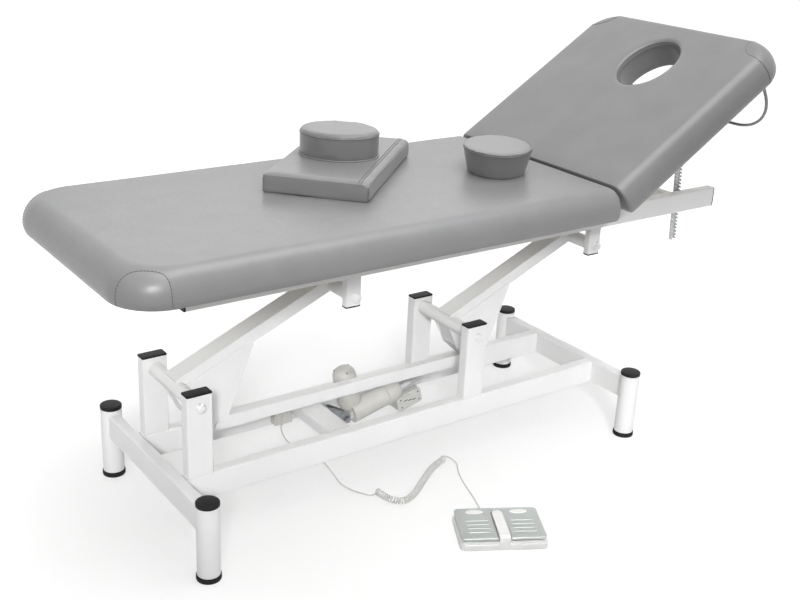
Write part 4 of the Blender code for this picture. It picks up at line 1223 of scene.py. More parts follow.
@dataclass
class FaceHolePad(Pad):
    """The head pad: the pad's form with a lined oval hole for the face."""

    hole_at: float = 0.4458
    hole_length: float = 0.190
    hole_width: float = 0.150
    lining: float = 0.0014
    slack: float = 0.0012
    back: float = 0.0007
    roll: float = 0.014
    lip: float = 0.0045
    seam_points: int = 240
    rim_turn: float = 0.95

    def oval(self, angles: list[float], offset: float, height: float) -> list[Vector]:
        """Return a ring round the hole, set outwards by an offset, through the given directions."""
        long = self.hole_length / 2
        wide = self.hole_width / 2
        ring = []
        for angle in angles:
            turn = math.atan2(long * math.sin(angle), wide * math.cos(angle))
            x = self.hole_at + (long + offset) * math.cos(turn)
            ring.append(Vector((x, (wide + offset) * math.sin(turn), height)))
        return ring

    def build(self) -> Object:
        """Make the pad as any pad, and sew the two seams of the hole's rolled rim."""
        pad = super().build()
        angles = [2 * math.pi * step / self.seam_points for step in range(self.seam_points)]
        top = self.thickness + self.crown
        for name, turn in (("rim", self.rim_turn), ("lining", math.pi / 2)):
            offset = self.roll * (1 - math.sin(turn)) - self.lining
            seam = []
            for point in self.oval(angles, offset, top - self.roll * (1 - math.cos(turn))):
                inwards = Vector((self.hole_at - point.x, -point.y, 0.0)).normalized()
                seam.append((point, UP * math.cos(turn) + inwards * math.sin(turn)))
            sew(f"head_pad_{name}_seam", seam, self.place, self.body, fold=0.0012, closed=True)
        return pad

    def skin(self) -> Shape:
        """Return the whole closed pad with its lined hole."""
        outer = self.skin_rings()
        edge = outer[-1]
        angles = [math.atan2(point.y, point.x - self.hole_at) for point in edge]
        rim = self.oval(angles, self.roll - self.lining, self.thickness)
        count = 12
        # The top, from the shoulder's end to the rim, closer set towards the shoulder
        for i in range(1, count + 1):
            part = 1 - (1 - i / count) ** 1.3
            outer.append([first.lerp(second, part) for first, second in zip(edge, rim)])
        self.ease(outer)
        # The rolled rim
        rim = outer[-1]
        for c, s in quarter_turn(8):
            ring = self.oval(angles, self.roll * (1 - s) - self.lining, 0.0)
            for first, point in zip(rim, ring):
                point.z = first.z - self.roll * (1 - c)
            outer.append(ring)
        # The lining, slightly slack
        last = outer[-1]
        for part in (0.3, 0.6, 0.8):
            ring = self.oval(angles, -self.lining + self.slack * math.sin(math.pi * part), 0.0)
            for first, point in zip(last, ring):
                point.z = first.z * (1 - part)
            outer.append(ring)
        # The lip at the lining's lower edge: three quarters of a turn, out under the board
        for i in range(count + 1):
            turn = math.pi * (1.5 * i / count - 0.25)
            height = -self.lip * (0.55 + 0.85 * math.sin(turn)) + 0.0005
            outer.append(self.oval(angles, self.lip * (0.2 - math.cos(turn)) - self.lining, height))
        # The lining's back, up to the roof of the board's pocket
        outer += [self.oval(angles, -self.back, height) for height in (-0.0003, self.pocket)]
        return loft(outer + self.pocket_rings(), looped=True)


class Skin:
    """A cushion's finished skin, with the points on it that its seams follow."""

    def __init__(self, shape: Shape) -> None:
        """Keep the skin and a search tree of it."""
        self.shape = shape
        self._tree = BVHTree.FromPolygons([tuple(point) for point in shape.points], shape.faces)

    def under(self, x: float, y: float) -> tuple[Vector, Vector]:
        """Return the skin's highest point at a place, and its outward direction there."""
        return self.facing(Vector((x, y, 1.0)), Vector((x, y, 0.0)))

    def facing(self, start: Vector, target: Vector) -> tuple[Vector, Vector]:
        """Return the first point of the skin from start towards target, and its outward direction there."""
        point, normal, _, _ = self._tree.ray_cast(start, target - start)
        if point is None:
            return target, (start - target).normalized()
        if normal.dot(target - start) > 0:
            normal = -normal
        return point, normal

    def girdle(self, centre: Vector, height: float, count: int) -> Seam:
        """Return a level loop of points round the skin, with the outward directions there.

        Args:
            centre: Point inside the skin that the loop runs about.
            height: Z of the loop.
            count: Points on the loop.

        Returns:
            The points and the directions.
        """
        target = Vector((centre.x, centre.y, height))
        return [self.facing(target + Vector((c, s, 0.0)), target) for c, s in full_turn(count)]


def inflate(
    shape: Shape, swell: float, voxel: float = 0.005, frames: int = 20, pressure: float = 4.0
) -> Shape:
    """Blow a cushion up as cloth under pressure, so that its faces fill and its edges draw in.

    Args:
        shape: The slack, closed cushion.
        swell: Furthest that a point may move.
        voxel: Size of the even mesh that is blown up.
        frames: Steps of the simulation.
        pressure: Pressure inside.
    """
    scene = bpy.context.scene
    mesh = bpy.data.meshes.new("slack_cushion")
    mesh.from_pydata([tuple(point) for point in shape.points], [], shape.faces)
    cushion = add_object("slack_cushion", mesh)
    even = cushion.modifiers.new("even", "REMESH")
    even.mode = "VOXEL"
    even.voxel_size = voxel
    slack = bpy.data.meshes.new_from_object(cushion.evaluated_get(bpy.context.evaluated_depsgraph_get()))
    cushion.modifiers.clear()
    cushion.data = slack
    cloth = cushion.modifiers.new("cloth", "CLOTH")
    cloth.settings.use_pressure = True
    cloth.settings.uniform_pressure_force = pressure
    cloth.settings.effector_weights.gravity = 0.0
    cloth.point_cache.frame_start = 1
    cloth.point_cache.frame_end = frames
    for step in range(1, frames + 1):
        scene.frame_set(step)
    full = bpy.data.meshes.new_from_object(cushion.evaluated_get(bpy.context.evaluated_depsgraph_get()))
    points = []
    for before, after in zip(slack.vertices, full.vertices):
        way = after.co - before.co
        if way.length > swell:
            way = way * (swell / way.length)
        points.append(before.co + way)
    faces = [tuple(face.vertices) for face in slack.polygons]
    scene.frame_set(1)
    bpy.data.objects.remove(cushion)
    return Shape(points, faces)


def make_cushion(
    name: str, skin: Skin, place: Matrix, body: str, replaces: Sequence[str]
) -> Object:
    """Turn a cushion's skin into a padded vinyl piece.

    Args:
        name: Name of the piece.
        skin: Its skin, in its own frame.
        place: Matrix from that frame to the row frame.
        body: CAD body that it moves with.
        replaces: CAD nodes that it stands for.

    Returns:
        The cushion's object.
    """
    cushion = make_piece(name, skin.shape.moved(place), VINYL, body, replaces, crease=60.0)
    smooth = cushion.modifiers.new("smooth", "SUBSURF")
    smooth.levels = 1
    smooth.render_levels = 1
    return cushion


@dataclass
class LoosePillow:
    """The loose head cushion: a sewn box cushion with an oval raised cushion on top.

    Attributes:
        at, turn: Place and turn of its underside on the bed.
        length, width, corner, height: Sizes of the box cushion.
        disc_at, disc_length, disc_width, disc_seam: Place, sizes and seam height of the oval cushion.
        piping: Radius of the piping round the oval's foot.
        top_seams, seam_end: Insets of the two rows beside the rolled edge, and how far they stop short.
        welt_inset, welt_corner, welt_start, welt_drops: How the welt runs along the upper edges.
        corner_seam, corner_rise: Inset of the upright seams, and their start and run in shares of height.
        pucker, pucker_from, pucker_waves: Height, limit in X and waves of the sewn end's foot.
        body: CAD body that it moves with.
        profile: Height, inset of the sewn sides and inset of the rolled side, in mm.
    """

    at: Triple = (0.5445, 0.3745, 0.7128)
    turn: float = math.radians(42.5)
    length: float = 0.446
    width: float = 0.251
    corner: float = 0.008
    height: float = 0.045
    disc_at: Pair = (0.007, 0.006)
    disc_length: float = 0.170
    disc_width: float = 0.192
    disc_seam: float = 0.0525
    piping: float = 0.0021
    top_seams: Pair = (0.0225, 0.0285)
    welt_inset: float = 0.0022
    welt_corner: float = 0.010
    welt_start: float = 0.020
    welt_drops: Pair = (0.0030, 0.0026)
    seam_end: float = 0.004
    corner_seam: float = 0.0065
    corner_rise: Pair = (0.08, 0.80)
    pucker: float = 0.0022
    pucker_from: float = -0.18
    pucker_waves: float = 22.0
    body: str = "loose_pillow"
    profile: tuple[Triple, ...] = (
        (0.0, 3.0, 4.0),
        (2.0, 1.6, 2.0),
        (6.0, 1.0, 1.0),
        (22.0, 1.0, 1.0),
        (34.0, 1.0, 1.6),
        (38.0, 1.2, 3.4),
        (40.6, 1.6, 6.2),
        (42.0, 2.2, 9.4),
        (42.6, 3.4, 13.0),
        (43.0, 6.5, 18.0),
    )

    @property
    def place(self) -> Matrix:
        """Matrix from the pillow's own frame to the row frame."""
        return placed(self.at, self.turn)

    def ring(self, height: float, sewn: float, rolled: float) -> list[Vector]:
        """Return a level ring round the box cushion, set in by two insets in metres."""
        x = self.length / 2 - sewn
        box = (-x, x, -self.width / 2 + rolled, self.width / 2 - sewn)
        radii = (max(self.corner - 0.5 * sewn, 0.004),) * 4
        return rounded_ring(box, radii, height, (60, 32, 6))

    def build(self) -> None:
        """Make the box cushion, the oval cushion and their seams."""
        rings = [self.ring(z * MM, a * MM, b * MM) for z, a, b in self.profile]
        under = [self.ring(0.0, part, part) for part in (0.10, 0.05, 0.02)]
        over = [self.ring(self.height - 0.002, part, part) for part in (0.06, 0.09)]
        box = inflate(loft(under + rings + over), swell=0.0030)
        # The foot of the sewn end is puckered, and the rest lies flat
        for point in box.points:
            pucker = self.pucker * math.sin(point.y * self.pucker_waves + 0.6)
            point.z = max(point.z, pucker if point.x < self.pucker_from else 0.0, 0.0)
        top = Skin(box)
        make_cushion("pillow_box", top, self.place, self.body, ("pillow",))
        oval = Skin(inflate(self._oval(), swell=0.0013, voxel=0.004))
        make_cushion("pillow_oval", oval, self.place, self.body, ())
        self._box_seams(top)
        self._oval_seams(top, oval)

    def _oval(self) -> Shape:
        """Return the slack oval cushion that stands on top."""
        stations = ((-3.0, 4.0), (0.0, 2.6), (4.0, 1.6), (30.0, 1.2), (50.0, 1.4), (56.0, 1.8), (59.4, 3.2))
        stations += ((61.4, 6.0), (62.0, 12.0), (62.0, 40.0))
        rings = []
        for z, inset in stations:
            length = self.disc_length - 2 * inset * MM
            width = self.disc_width - 2 * inset * MM
            rings.append(oval_ring(length, width, self.height + z * MM, sides=96))
        return loft(rings).moved(Matrix.Translation((*self.disc_at, 0.0)))

    def _box_seams(self, top: Skin) -> None:
        """Sew two rows beside the rolled edge, a welt along the sewn upper edges and the corner seams."""
        half = self.length / 2
        side = self.width / 2
        count = 190
        xs = [(half - self.seam_end) * (2 * step / count - 1) for step in range(count + 1)]
        for number, inset in enumerate(self.top_seams):
            seam = [top.under(x, -side + inset) for x in xs]
            sew(f"pillow_top_seam_{number}", seam, self.place, self.body, fold=0.0010)
        # Points by the upper edge, from which the welt is cast onto the skin
        near_drop, far_drop = self.welt_drops
        path = [
            Vector((-half + self.welt_inset, -side + self.welt_start, self.height - near_drop)),
            Vector((-half + self.welt_inset, side - self.welt_corner, self.height - far_drop)),
            Vector((-half + self.welt_corner, side - self.welt_inset, self.height - far_drop)),
        ]
        path = and_back(path, 0)
        pieces = 24
        line = []
        for first, second in zip(path, path[1:]):
            line += [first.lerp(second, step / pieces) for step in range(pieces)]
        seam = []
        for point in even_path(line, SEAM_STEP):
            inside = Vector((point.x * 0.9, point.y * 0.9, self.height / 2))
            away = (point - inside).normalized() * 0.05
            seam.append(top.facing(point + away, point - away))
        sew("pillow_edge_welt", seam, self.place, self.body, fold=0.0013, stitched=False)
        start, run = self.corner_rise
        spans = 17
        heights = [self.height * (start + run * step / spans) for step in range(spans + 1)]
        for number, y in enumerate((-side + self.corner_seam, side - self.corner_seam)):
            seam = [top.facing(Vector((-0.5, y, z)), Vector((0.0, y, z))) for z in heights]
            sew(f"pillow_corner_seam_{number}", seam, self.place, self.body, fold=0.0010)

    def _oval_seams(self, top: Skin, oval: Skin) -> None:
        """Sew the oval's upper seam and lay the piping round its foot."""
        centre = Vector((*self.disc_at, self.height + 0.03))
        seam = oval.girdle(centre, self.height + self.disc_seam, count=258)
        sew("pillow_oval_seam", seam, self.place, self.body, fold=0.0011, closed=True)
        outwards = 0.0016
        lift = 0.0014
        path = []
        for point, up in oval.girdle(centre, self.height + 0.004, count=160):
            spot, _ = top.under(point.x + outwards * up.x, point.y + outwards * up.y)
            path.append(spot + UP * lift)
        piping = sweep(path, [UP] * len(path), round_section(self.piping, sides=8), closed=True)
        piping = piping.moved(self.place)
        make_piece("pillow_oval_piping", piping, VINYL, self.body, crease=70.0)


@dataclass
class FacePlug:
    """The loose plug for the face hole: a tapered oval cushion with a welted rim."""

    at: Triple = (0.902, 0.226, 0.7128)
    turn: float = math.radians(51.6)
    length: float = 0.208
    width: float = 0.170
    taper: float = 0.842
    full_mm: float = 60.0
    height: float = 0.067
    rim_welts: Pair = (0.0575, 0.0632)
    body: str = "loose_plug"

    @property
    def place(self) -> Matrix:
        """Matrix from the plug's own frame to the row frame."""
        return placed(self.at, self.turn)

    def build(self) -> None:
        """Make the plug and the double seam round its rim."""
        stations = ((0.0, 2.6), (1.2, 1.6), (4.0, 1.2), (24.0, 1.2), (44.0, 1.4), (57.0, 1.4))
        stations += ((62.6, 1.2), (64.6, 1.8), (65.4, 3.4), (65.6, 12.0), (65.6, 30.0))
        rings = []
        for z, inset in stations:
            part = self.taper + (1 - self.taper) * min(z / self.full_mm, 1.0)
            size = 2 * inset * MM
            rings.append(oval_ring(self.length * part - size, self.width * part - size, z * MM, sides=96))
        shape = inflate(loft(rings), swell=0.0010, voxel=0.003)
        for point in shape.points:
            point.z = max(point.z, 0.0)
        skin = Skin(shape)
        make_cushion("face_plug_pad", skin, self.place, self.body, ("face_plug",))
        centre = Vector((0.0, 0.0, self.height / 2))
        for number, height in enumerate(self.rim_welts):
            seam = skin.girdle(centre, height, count=270)
            label = f"face_plug_rim_welt_{number}"
            sew(label, seam, self.place, self.body, fold=0.0017, closed=True, stitched=number == 0)


@dataclass
class Drive:
    """The lifting drive's dressed pieces, from the motor's can to the ribs of the junction box."""

    pin: Triple = (0.5023, 0.2635, 0.1245)
    angle: float = math.radians(13.84)
    motor_at: Pair = (0.034, 0.0175)
    box_near: float = -0.022
    pin_half: float = 0.0173
    rib_face: float = 0.3217
    rib_start: float = 0.3497
    rib_pitch: float = 0.0068
    rib_middle: float = 0.1375
    sunk: float = 0.0004

    @property
    def place(self) -> Matrix:
        """Matrix from the drive's own frame, on its rear pin, to the row frame."""
        return placed(self.pin, -self.angle, "Y")

    def build(self) -> None:
        """Make the pieces that swing with the drive, and those on the base beside it."""
        self._motor()
        self._tube()
        self._cover_and_slot_shade()
        self._bolt()
        self._ribs()

    def _motor(self) -> None:
        """Make the motor's can: a round foot, a parting line and a domed top with three screws."""
        spot = self.place @ Matrix.Translation((*self.motor_at, 0.0))
        profile = [(0.019, 0.0070), (0.0245, 0.0085), (0.0278, 0.0125), (0.0292, 0.0190), (0.0292, 0.0520)]
        profile += [(0.0286, 0.0524), (0.0286, 0.0534), (0.0292, 0.0538), (0.0292, 0.0960), (0.0288, 0.1020)]
        profile += [(0.0272, 0.1085), (0.0240, 0.1140), (0.0190, 0.1180), (0.0110, 0.1205), (0.0020, 0.1212)]
        can = lathe(profile, sides=48).moved(spot)
        make_piece("motor_can", can, DRIVE_ABS, "actuator", ("motor",))
        screws = Shape()
        head = lathe(((0.0030, 0.0), (0.0030, 0.0014), (0.0024, 0.0020), (0.0010, 0.0021)), sides=16)
        lean = placed((0.0215, 0.0, 0.1152), 0.75, "Y")
        for step in range(3):
            turn = Matrix.Rotation(2 * math.pi * step / 3 + 0.4, 4, "Z")
            screws.add(head.moved(spot @ turn @ lean))
        make_piece("motor_screws", screws, ZINC, "actuator")

    def _tube(self) -> None:
        """Make the outer tube with its end ring, and the collar that holds it."""
        lay = self.place @ Matrix.Rotation(math.pi / 2, 4, "Y")
        profile = [(0.0150, 0.1560), (0.0155, 0.1565), (0.0155, 0.2770), (0.0150, 0.2778), (0.0150, 0.2790)]
        profile += [(0.0158, 0.2796), (0.0158, 0.2848), (0.0150, 0.2860), (0.0086, 0.2866)]
        tube = lathe(profile, sides=40).moved(lay)
        make_piece("outer_tube_sleeve", tube, ANODISED, "actuator", ("outer_tube",))
        profile = [(0.0200, 0.1236), (0.0272, 0.1240), (0.0284, 0.1252), (0.0284, 0.1500), (0.0276, 0.1514)]
        profile += [(0.0262, 0.1520), (0.0262, 0.1560), (0.0250, 0.1600), (0.0215, 0.1648), (0.0160, 0.1662)]
        collar = lathe(profile, sides=48).moved(lay)
        make_piece("gear_housing_collar", collar, DRIVE_ABS, "actuator")

    def _cover_and_slot_shade(self) -> None:
        """Make the terminal box's screwed cover, black bars on it that paint the shade in its vent openings,
        and its screws.
        """
        cover = plate((0.064, 0.032, 0.0022), corner=0.004, edge=0.0010)
        spot = self.place @ placed((0.182, self.box_near + self.sunk, -0.0335), math.pi / 2, "X")
        make_piece("terminal_box_cover", cover.moved(spot), DRIVE_ABS, "actuator")
        # Raised black bars in place of the vent openings: painted shade of their dark insides
        slot_shade_and_screws = Shape()
        face = 0.0019
        slot_shade_bar = plate((0.0110, 0.0022, 0.0006), corner=0.0010, edge=0.0002)
        for step in (-1, 0, 1):
            slot_shade_and_screws.add(slot_shade_bar.moved(spot @ placed((0.012 * step, -0.0005 - 0.004 * step, face))))
        screw = lathe(((0.0020, 0.0), (0.0020, 0.0006), (0.0012, 0.0009)), sides=14)
        for x, y in ((-0.027, 0.011), (0.027, 0.011), (-0.027, -0.011), (0.027, -0.011)):
            slot_shade_and_screws.add(screw.moved(spot @ placed((x, y, face))))
        make_piece("terminal_box_slot_shade_and_screws", slot_shade_and_screws, BLACK_CAP, "actuator")

    def _bolt(self) -> None:
        """Put a hexagonal head and a nut with washers on the rear pin."""
        washer = lathe(((0.0096, 0.0), (0.0096, 0.0012), (0.0094, 0.0014)), sides=28)
        profile = ((0.0070, 0.0), (0.0084, 0.0006), (0.0084, 0.0052), (0.0070, 0.0060), (0.0040, 0.0061))
        bolt = washer.moved(placed((0.0, 0.0, -0.0029)))
        bolt.add(lathe(profile, sides=6).moved(placed((0.0, 0.0, -0.0016))))
        pair = both_ends(bolt, self.pin_half).moved(placed(self.pin))
        make_piece("clevis_bolt", pair, ZINC, "base")

    def _ribs(self) -> None:
        """Mould upright ribs on the junction box's near face."""
        ribs = Shape()
        rib = plate((0.0030, 0.0370, 0.0018), corner=0.0010, edge=0.0006)
        for step in range(6):
            at = (self.rib_start + self.rib_pitch * step, self.rib_face + self.sunk, self.rib_middle)
            ribs.add(rib.moved(placed(at, math.pi / 2, "X")))
        make_piece("junction_box_ribs", ribs, DRIVE_ABS, "base")


def node_box(node: str) -> tuple[Vector, Vector, Vector]:
    """Return the middle, the size and the middle of the underside of a CAD node's box."""
    low, high = (Vector(corner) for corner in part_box(node))
    middle = (low + high) / 2
    return middle, high - low, Vector((middle.x, middle.y, low.z))


@dataclass
class TubeEnds:
    """Moulded plugs and caps on the open ends of the steel tubes, and the domed covers of the pivot bolts."""

    cap: float = 0.004
    corner: float = 0.004
    edge: float = 0.0015
    dome_edge: float = 0.0035
    cover_radius: float = 0.0112
    cover_height: float = 0.0050

    def build(self) -> None:
        """Cap the uprights, the bed rails, the hangers and the legs, and cover the pivot bolts."""
        for end in ENDS:
            for side in SIDES:
                self._tube_cap(f"upright_{end}_{side}", "base", UP)
                self._tube_cap(f"hanger_{end}_{side}", "bed", -UP)
                self._leg_cap(f"leg_cap_{end}_{side}")
                self._foot(f"foot_{end}_{side}")
            self._covers(f"lower_pivot_{end}", "base")
            self._covers(f"upper_pivot_{end}", "bed")
        for side in SIDES:
            for way in (Vector((-1.0, 0.0, 0.0)), Vector((1.0, 0.0, 0.0))):
                self._tube_cap(f"bed_rail_{side}", "bed", way)

    def _tube_cap(self, node: str, body: str, way: Vector) -> None:
        """Put a plug on the end of a rectangular tube.

        Args:
            node: CAD node of the tube.
            body: CAD body that the tube is on.
            way: Direction in which the capped end looks.
        """
        middle, size, _ = node_box(node)
        axis = max(range(3), key=lambda i: abs(way[i]))
        first, second = [i for i in range(3) if i != axis]
        columns = [Vector((0.0, 0.0, 0.0)), Vector((0.0, 0.0, 0.0)), way]
        columns[0][first] = 1.0
        columns[1][second] = 1.0
        turn = Matrix(columns).transposed().to_4x4()
        shape = plate((size[first], size[second], self.cap), corner=self.corner, edge=self.edge)
        shape = shape.moved(Matrix.Translation(middle + way * (size[axis] / 2)) @ turn)
        label = "end" if axis == 2 else ("foot_end" if way.x < 0 else "head_end")
        make_piece(f"{node}_{label}_plug", shape, BLACK_CAP, body)

    def _leg_cap(self, node: str) -> None:
        """Replace a leg's plain cap by a domed one."""
        _, size, foot = node_box(node)
        radius = size.x / 2
        # An upright edge, a rounded shoulder and a low dome, in shares of the height
        profile = [(radius - 0.0006, 0.0), (radius, 0.0006), (radius, 0.62 * size.z)]
        for c, s in quarter_turn(5):
            profile.append((radius - self.dome_edge * (1 - c), size.z * (0.62 + 0.26 * s)))
        profile += [(0.6 * radius, 0.95 * size.z), (0.3 * radius, 0.99 * size.z), (0.05 * radius, size.z)]
        shape = lathe(profile, sides=48).moved(placed(foot))
        make_piece(f"{node}_dome", shape, BLACK_CAP, "base", (node,))

    def _foot(self, node: str) -> None:
        """Replace a foot's plain disc by a moulded rubber ferrule with a groove."""
        _, size, foot = node_box(node)
        # Inset from the disc's radius, and height
        profile = [(0.0022, 0.0), (0.0006, 0.0006), (0.0, 0.0022), (0.0, 0.0074), (0.0005, 0.0080)]
        profile += [(0.0005, 0.0086), (0.0, 0.0092), (0.0002, size.z - 0.0012), (0.0012, size.z)]
        shape = lathe([(size.x / 2 - inset, height) for inset, height in profile], sides=48)
        make_piece(f"{node}_ferrule", shape.moved(placed(foot)), RUBBER, "base", (node,))

    def _covers(self, node: str, body: str) -> None:
        """Put a domed painted cover on both ends of a pivot tube."""
        middle, size, _ = node_box(node)
        profile = [(self.cover_radius, 0.0)]
        profile += [(self.cover_radius * c + 0.0002, self.cover_height * s) for c, s in quarter_turn(7)]
        shape = both_ends(lathe(profile, sides=32), size.y / 2 + 0.0001).moved(placed(middle))
        make_piece(f"{node}_bolt_covers", shape, POWDER_COAT, body)


@dataclass
class RatchetStrut:
    """The head section's strut: a zinc-plated channel whose two flanges are notched all the way down."""

    pivot: Triple = (1.39466, 0.079, 0.82460)
    lean: float = math.radians(3.9)
    width: float = 0.017
    depth: float = 0.010
    wall: float = 0.0016
    length: float = 0.334
    above: float = 0.008
    pitch: float = 0.0095
    notch: float = 0.0050
    notch_depth: float = 0.0062
    notch_slope: float = 0.25
    first_notch: float = 0.004
    plain_top: float = 0.022
    chamfer: float = 0.003

    def build(self) -> None:
        """Make the channel and the pin that it swings on."""
        place = placed(self.pivot, -self.lean, "Y")
        top = self.above
        bottom = top - self.length
        half = self.width / 2
        back = self.depth / 2
        shape = self._slab((-half, half), (back - self.wall, back), (bottom, top))
        for low in (-half, half - self.wall):
            shape.add(self._flange(low, bottom, top))
        channel = shape.moved(place)
        make_piece("ratchet_strut_channel", channel, STRUT_ZINC, "strut", ("ratchet_strut",))
        profile = ((0.0050, -0.0004), (0.0054, 0.0002), (0.0054, 0.0012), (0.0046, 0.0018), (0.0015, 0.0021))
        pin = both_ends(lathe(profile, sides=24), back).moved(place)
        make_piece("ratchet_strut_pin", pin, ZINC, "strut")

    @staticmethod
    def _slab(xs: Pair, ys: Pair, zs: Pair) -> Shape:
        """Return a flat bar between three pairs of limits."""
        corners = [(xs[0], ys[0]), (xs[1], ys[0]), (xs[1], ys[1]), (xs[0], ys[1])]
        return loft([[Vector((x, y, z)) for x, y in corners] for z in zs])

    def _flange(self, low: float, bottom: float, top: float) -> Shape:
        """Return one flange with its row of notches.

        Args:
            low: X of the flange's outer or inner face, whichever is lower.
            bottom: Z of the lower end.
            top: Z of the upper end.

        Returns:
            The flange.
        """
        back = self.depth / 2
        front = -back
        deep = front + self.notch_depth
        edge = [(back, bottom), (front, bottom)]
        z = bottom + self.first_notch
        while z + self.notch < top - self.plain_top:
            end = z + self.notch
            edge += [(front, z), (deep, z + self.notch_slope * self.notch), (deep, end), (front, end)]
            z += self.pitch
        edge += [(front, top - self.chamfer), (front + self.chamfer, top), (back, top)]
        return loft([[Vector((x, y, h)) for y, h in edge] for x in (low, low + self.wall)])


@dataclass
class RollHolder:
    """The wire loop under the head end that carries a paper roll: chromed, bent in two wide arcs."""

    wire: float = 0.0042
    along: float = 0.5558
    half: float = 0.265
    hang: float = 0.182
    bend: float = 0.130

    def build(self, place: Matrix) -> None:
        """Make the loop.

        Args:
            place: Matrix from the head section's own frame to the row frame.
        """
        leg = self.hang - self.bend
        spans = 6
        side = []
        for i in range(spans + 1):
            side.append(Vector((self.along, -self.half, HEAD_UNDERSIDE - leg * i / spans)))
        for c, s in quarter_turn(24):
            y = -self.half + self.bend * (1 - c)
            side.append(Vector((self.along, y, HEAD_UNDERSIDE - leg - self.bend * s)))
        path = and_back(side, 1)
        ups = [Vector((1.0, 0.0, 0.0))] * len(path)
        loop = sweep(path, ups, round_section(self.wire, sides=14)).moved(place)
        make_piece("roll_holder_wire", loop, CHROME, "head", ("roll_holder",), crease=60.0)


@dataclass
class FootSwitch:
    """The twin-pedal foot switch: two-tier moulded base, two ribbed pedals and a strap between them."""

    width: float = 0.199
    depth: float = 0.129
    lower: float = 0.015
    tier: float = 0.004
    inset: float = 0.006
    pedal_width: float = 0.090
    pedal_depth: float = 0.1255
    pedal_height: float = 0.005
    pedal_z: float = 0.0238
    pedal_x: float = 0.0516
    back: float = 0.0655
    strap_width: float = 0.025
    strap_back: float = 0.036
    slit: float = 0.0006
    clear: float = 0.0016
    bite: float = 0.0005
    sunk: float = 0.0004
    ribs: int = 4
    rib_first: float = 0.010
    rib_pitch: float = 0.0155
    rib_half: float = 0.026
    rib_slope: float = 0.002
    oval_back: float = 0.045
    oval_size: Pair = (0.041, 0.0175)
    # Height and inset of the strap's rounded upper face, and of a pedal's rounded edge
    strap_edge: tuple[Pair, ...] = (
        (-0.0016, 0.0), (-0.0003, 0.0), (0.0006, 0.0012), (0.0010, 0.004)
    )
    pedal_edge: tuple[Pair, ...] = (
        (0.0, 0.0006), (0.0008, 0.0), (0.0028, 0.0), (0.0040, 0.0006), (0.0047, 0.0014), (0.005, 0.0028)
    )

    @property
    def place(self) -> Matrix:
        """Matrix from the switch's own frame to the row frame."""
        return placed(Vector(BASE_MIDDLE) + Vector(SWITCH_AT), SWITCH_TURN)

    def build(self) -> None:
        """Make the base, the strap, the gland and both pedals."""
        self._base()
        self._strap()
        for name, sign in (("left", -1.0), ("right", 1.0)):
            self._pedal(name, sign)

    def _base(self) -> None:
        """Make the two-tier base with its middle rib, back ridge and cord gland."""
        fine = (2, 2, 8)
        top = self.lower + self.tier
        width = self.width - 2 * self.inset
        shape = plate((self.width, self.depth, self.lower), corner=0.012, edge=0.0028, steps=fine)
        overlap = 0.001
        size = (width, self.depth - 2 * self.inset, self.tier + overlap)
        tier = plate(size, corner=0.009, edge=0.0012, steps=fine)
        shape.add(tier.moved(placed((0.0, 0.0, self.lower - overlap))))
        size = (0.018, self.depth - 0.034, self.pedal_z + self.pedal_height - top)
        rib = plate(size, corner=0.003, edge=0.0006)
        shape.add(rib.moved(placed((0.0, -0.010, top - self.bite))))
        ridge = plate((width - 0.004, 0.0055, 0.0042), corner=0.0015, edge=0.001)
        shape.add(ridge.moved(placed((0.0, self.depth / 2 - self.inset - 0.0032, top - self.bite))))
        shell = shape.moved(self.place)
        make_piece("switch_base_shell", shell, WHITE_ABS, "base", ("switch_base",))
        profile = ((0.0046, 0.0), (0.0046, 0.003), (0.0040, 0.0034), (0.0040, 0.0046), (0.0044, 0.005))
        profile += ((0.0044, 0.0066), (0.0036, 0.0070), (0.0036, 0.0082), (0.0040, 0.0086), (0.0036, 0.0112))
        x, _, z = SWITCH_GLAND
        spot = placed((x, self.depth / 2 - self.bite, z), -math.pi / 2, "X")
        gland = lathe(profile, sides=24).moved(self.place @ spot)
        make_piece("switch_cord_gland", gland, WHITE_ABS, "base")

    def _strap(self) -> None:
        """Make the strap between the pedals: round at the back, lipped over the front edge."""
        half = self.strap_width / 2
        front = -self.depth / 2 + 0.001
        top = self.pedal_z + self.pedal_height + 0.0038
        line = [(self.strap_back, top), (-0.045, top), (-0.053, top - 0.0008), (-0.0585, top - 0.0032)]
        line += [(-0.0618, top - 0.0075), (-0.0632, top - 0.0125), (front - 0.0002, 0.0140)]
        path = even_path([Vector((0.0, y, z)) for y, z in line], 0.0015)
        section = [(half - inset, height) for height, inset in self.strap_edge]
        section += [(-across, height) for across, height in reversed(section)]
        ups = []
        for i in range(len(path)):
            along = path[min(i + 1, len(path) - 1)] - path[max(i - 1, 0)]
            ups.append(along.cross(Vector((1.0, 0.0, 0.0))).normalized())
        shape = sweep(path, ups, section)
        arc = 24
        rings = []
        for height, inset in self.strap_edge:
            radius = half - inset
            ring = []
            for step in range(arc + 1):
                turn = math.pi * step / arc
                y = self.strap_back - 0.0002 + radius * math.sin(turn)
                ring.append(Vector((radius * math.cos(turn), y, top + height)))
            rings.append(ring)
        shape.add(loft(rings))
        make_piece("switch_strap", shape.moved(self.place), WHITE_ABS, "base")

    def _pedal_plate(self, sign: float) -> Shape:
        """Return a pedal's plate, cut back beside the strap, in the pedal's own frame.

        Args:
            sign: -1 on the left, 1 on the right.

        Returns:
            The plate.
        """
        outer = self.pedal_width / 2
        back = self.pedal_depth / 2
        inner = self.pedal_x - self.slit
        cut = self.pedal_x - self.strap_width / 2 - self.clear
        shoulder = self.strap_back + self.strap_width / 2 + self.clear - self.back + back
        spots = [(outer, -back, 0.0095), (outer, back, 0.0095), (-inner, back, 0.0012)]
        spots += [(-inner, shoulder, 0.0006), (-cut, shoulder, 0.008), (-cut, -back, 0.0030)]
        rings = []
        for height, inset in self.pedal_edge:
            rings.append([Vector((x * sign, y, height)) for x, y in rounded_outline(spots, inset)])
        return loft(rings)

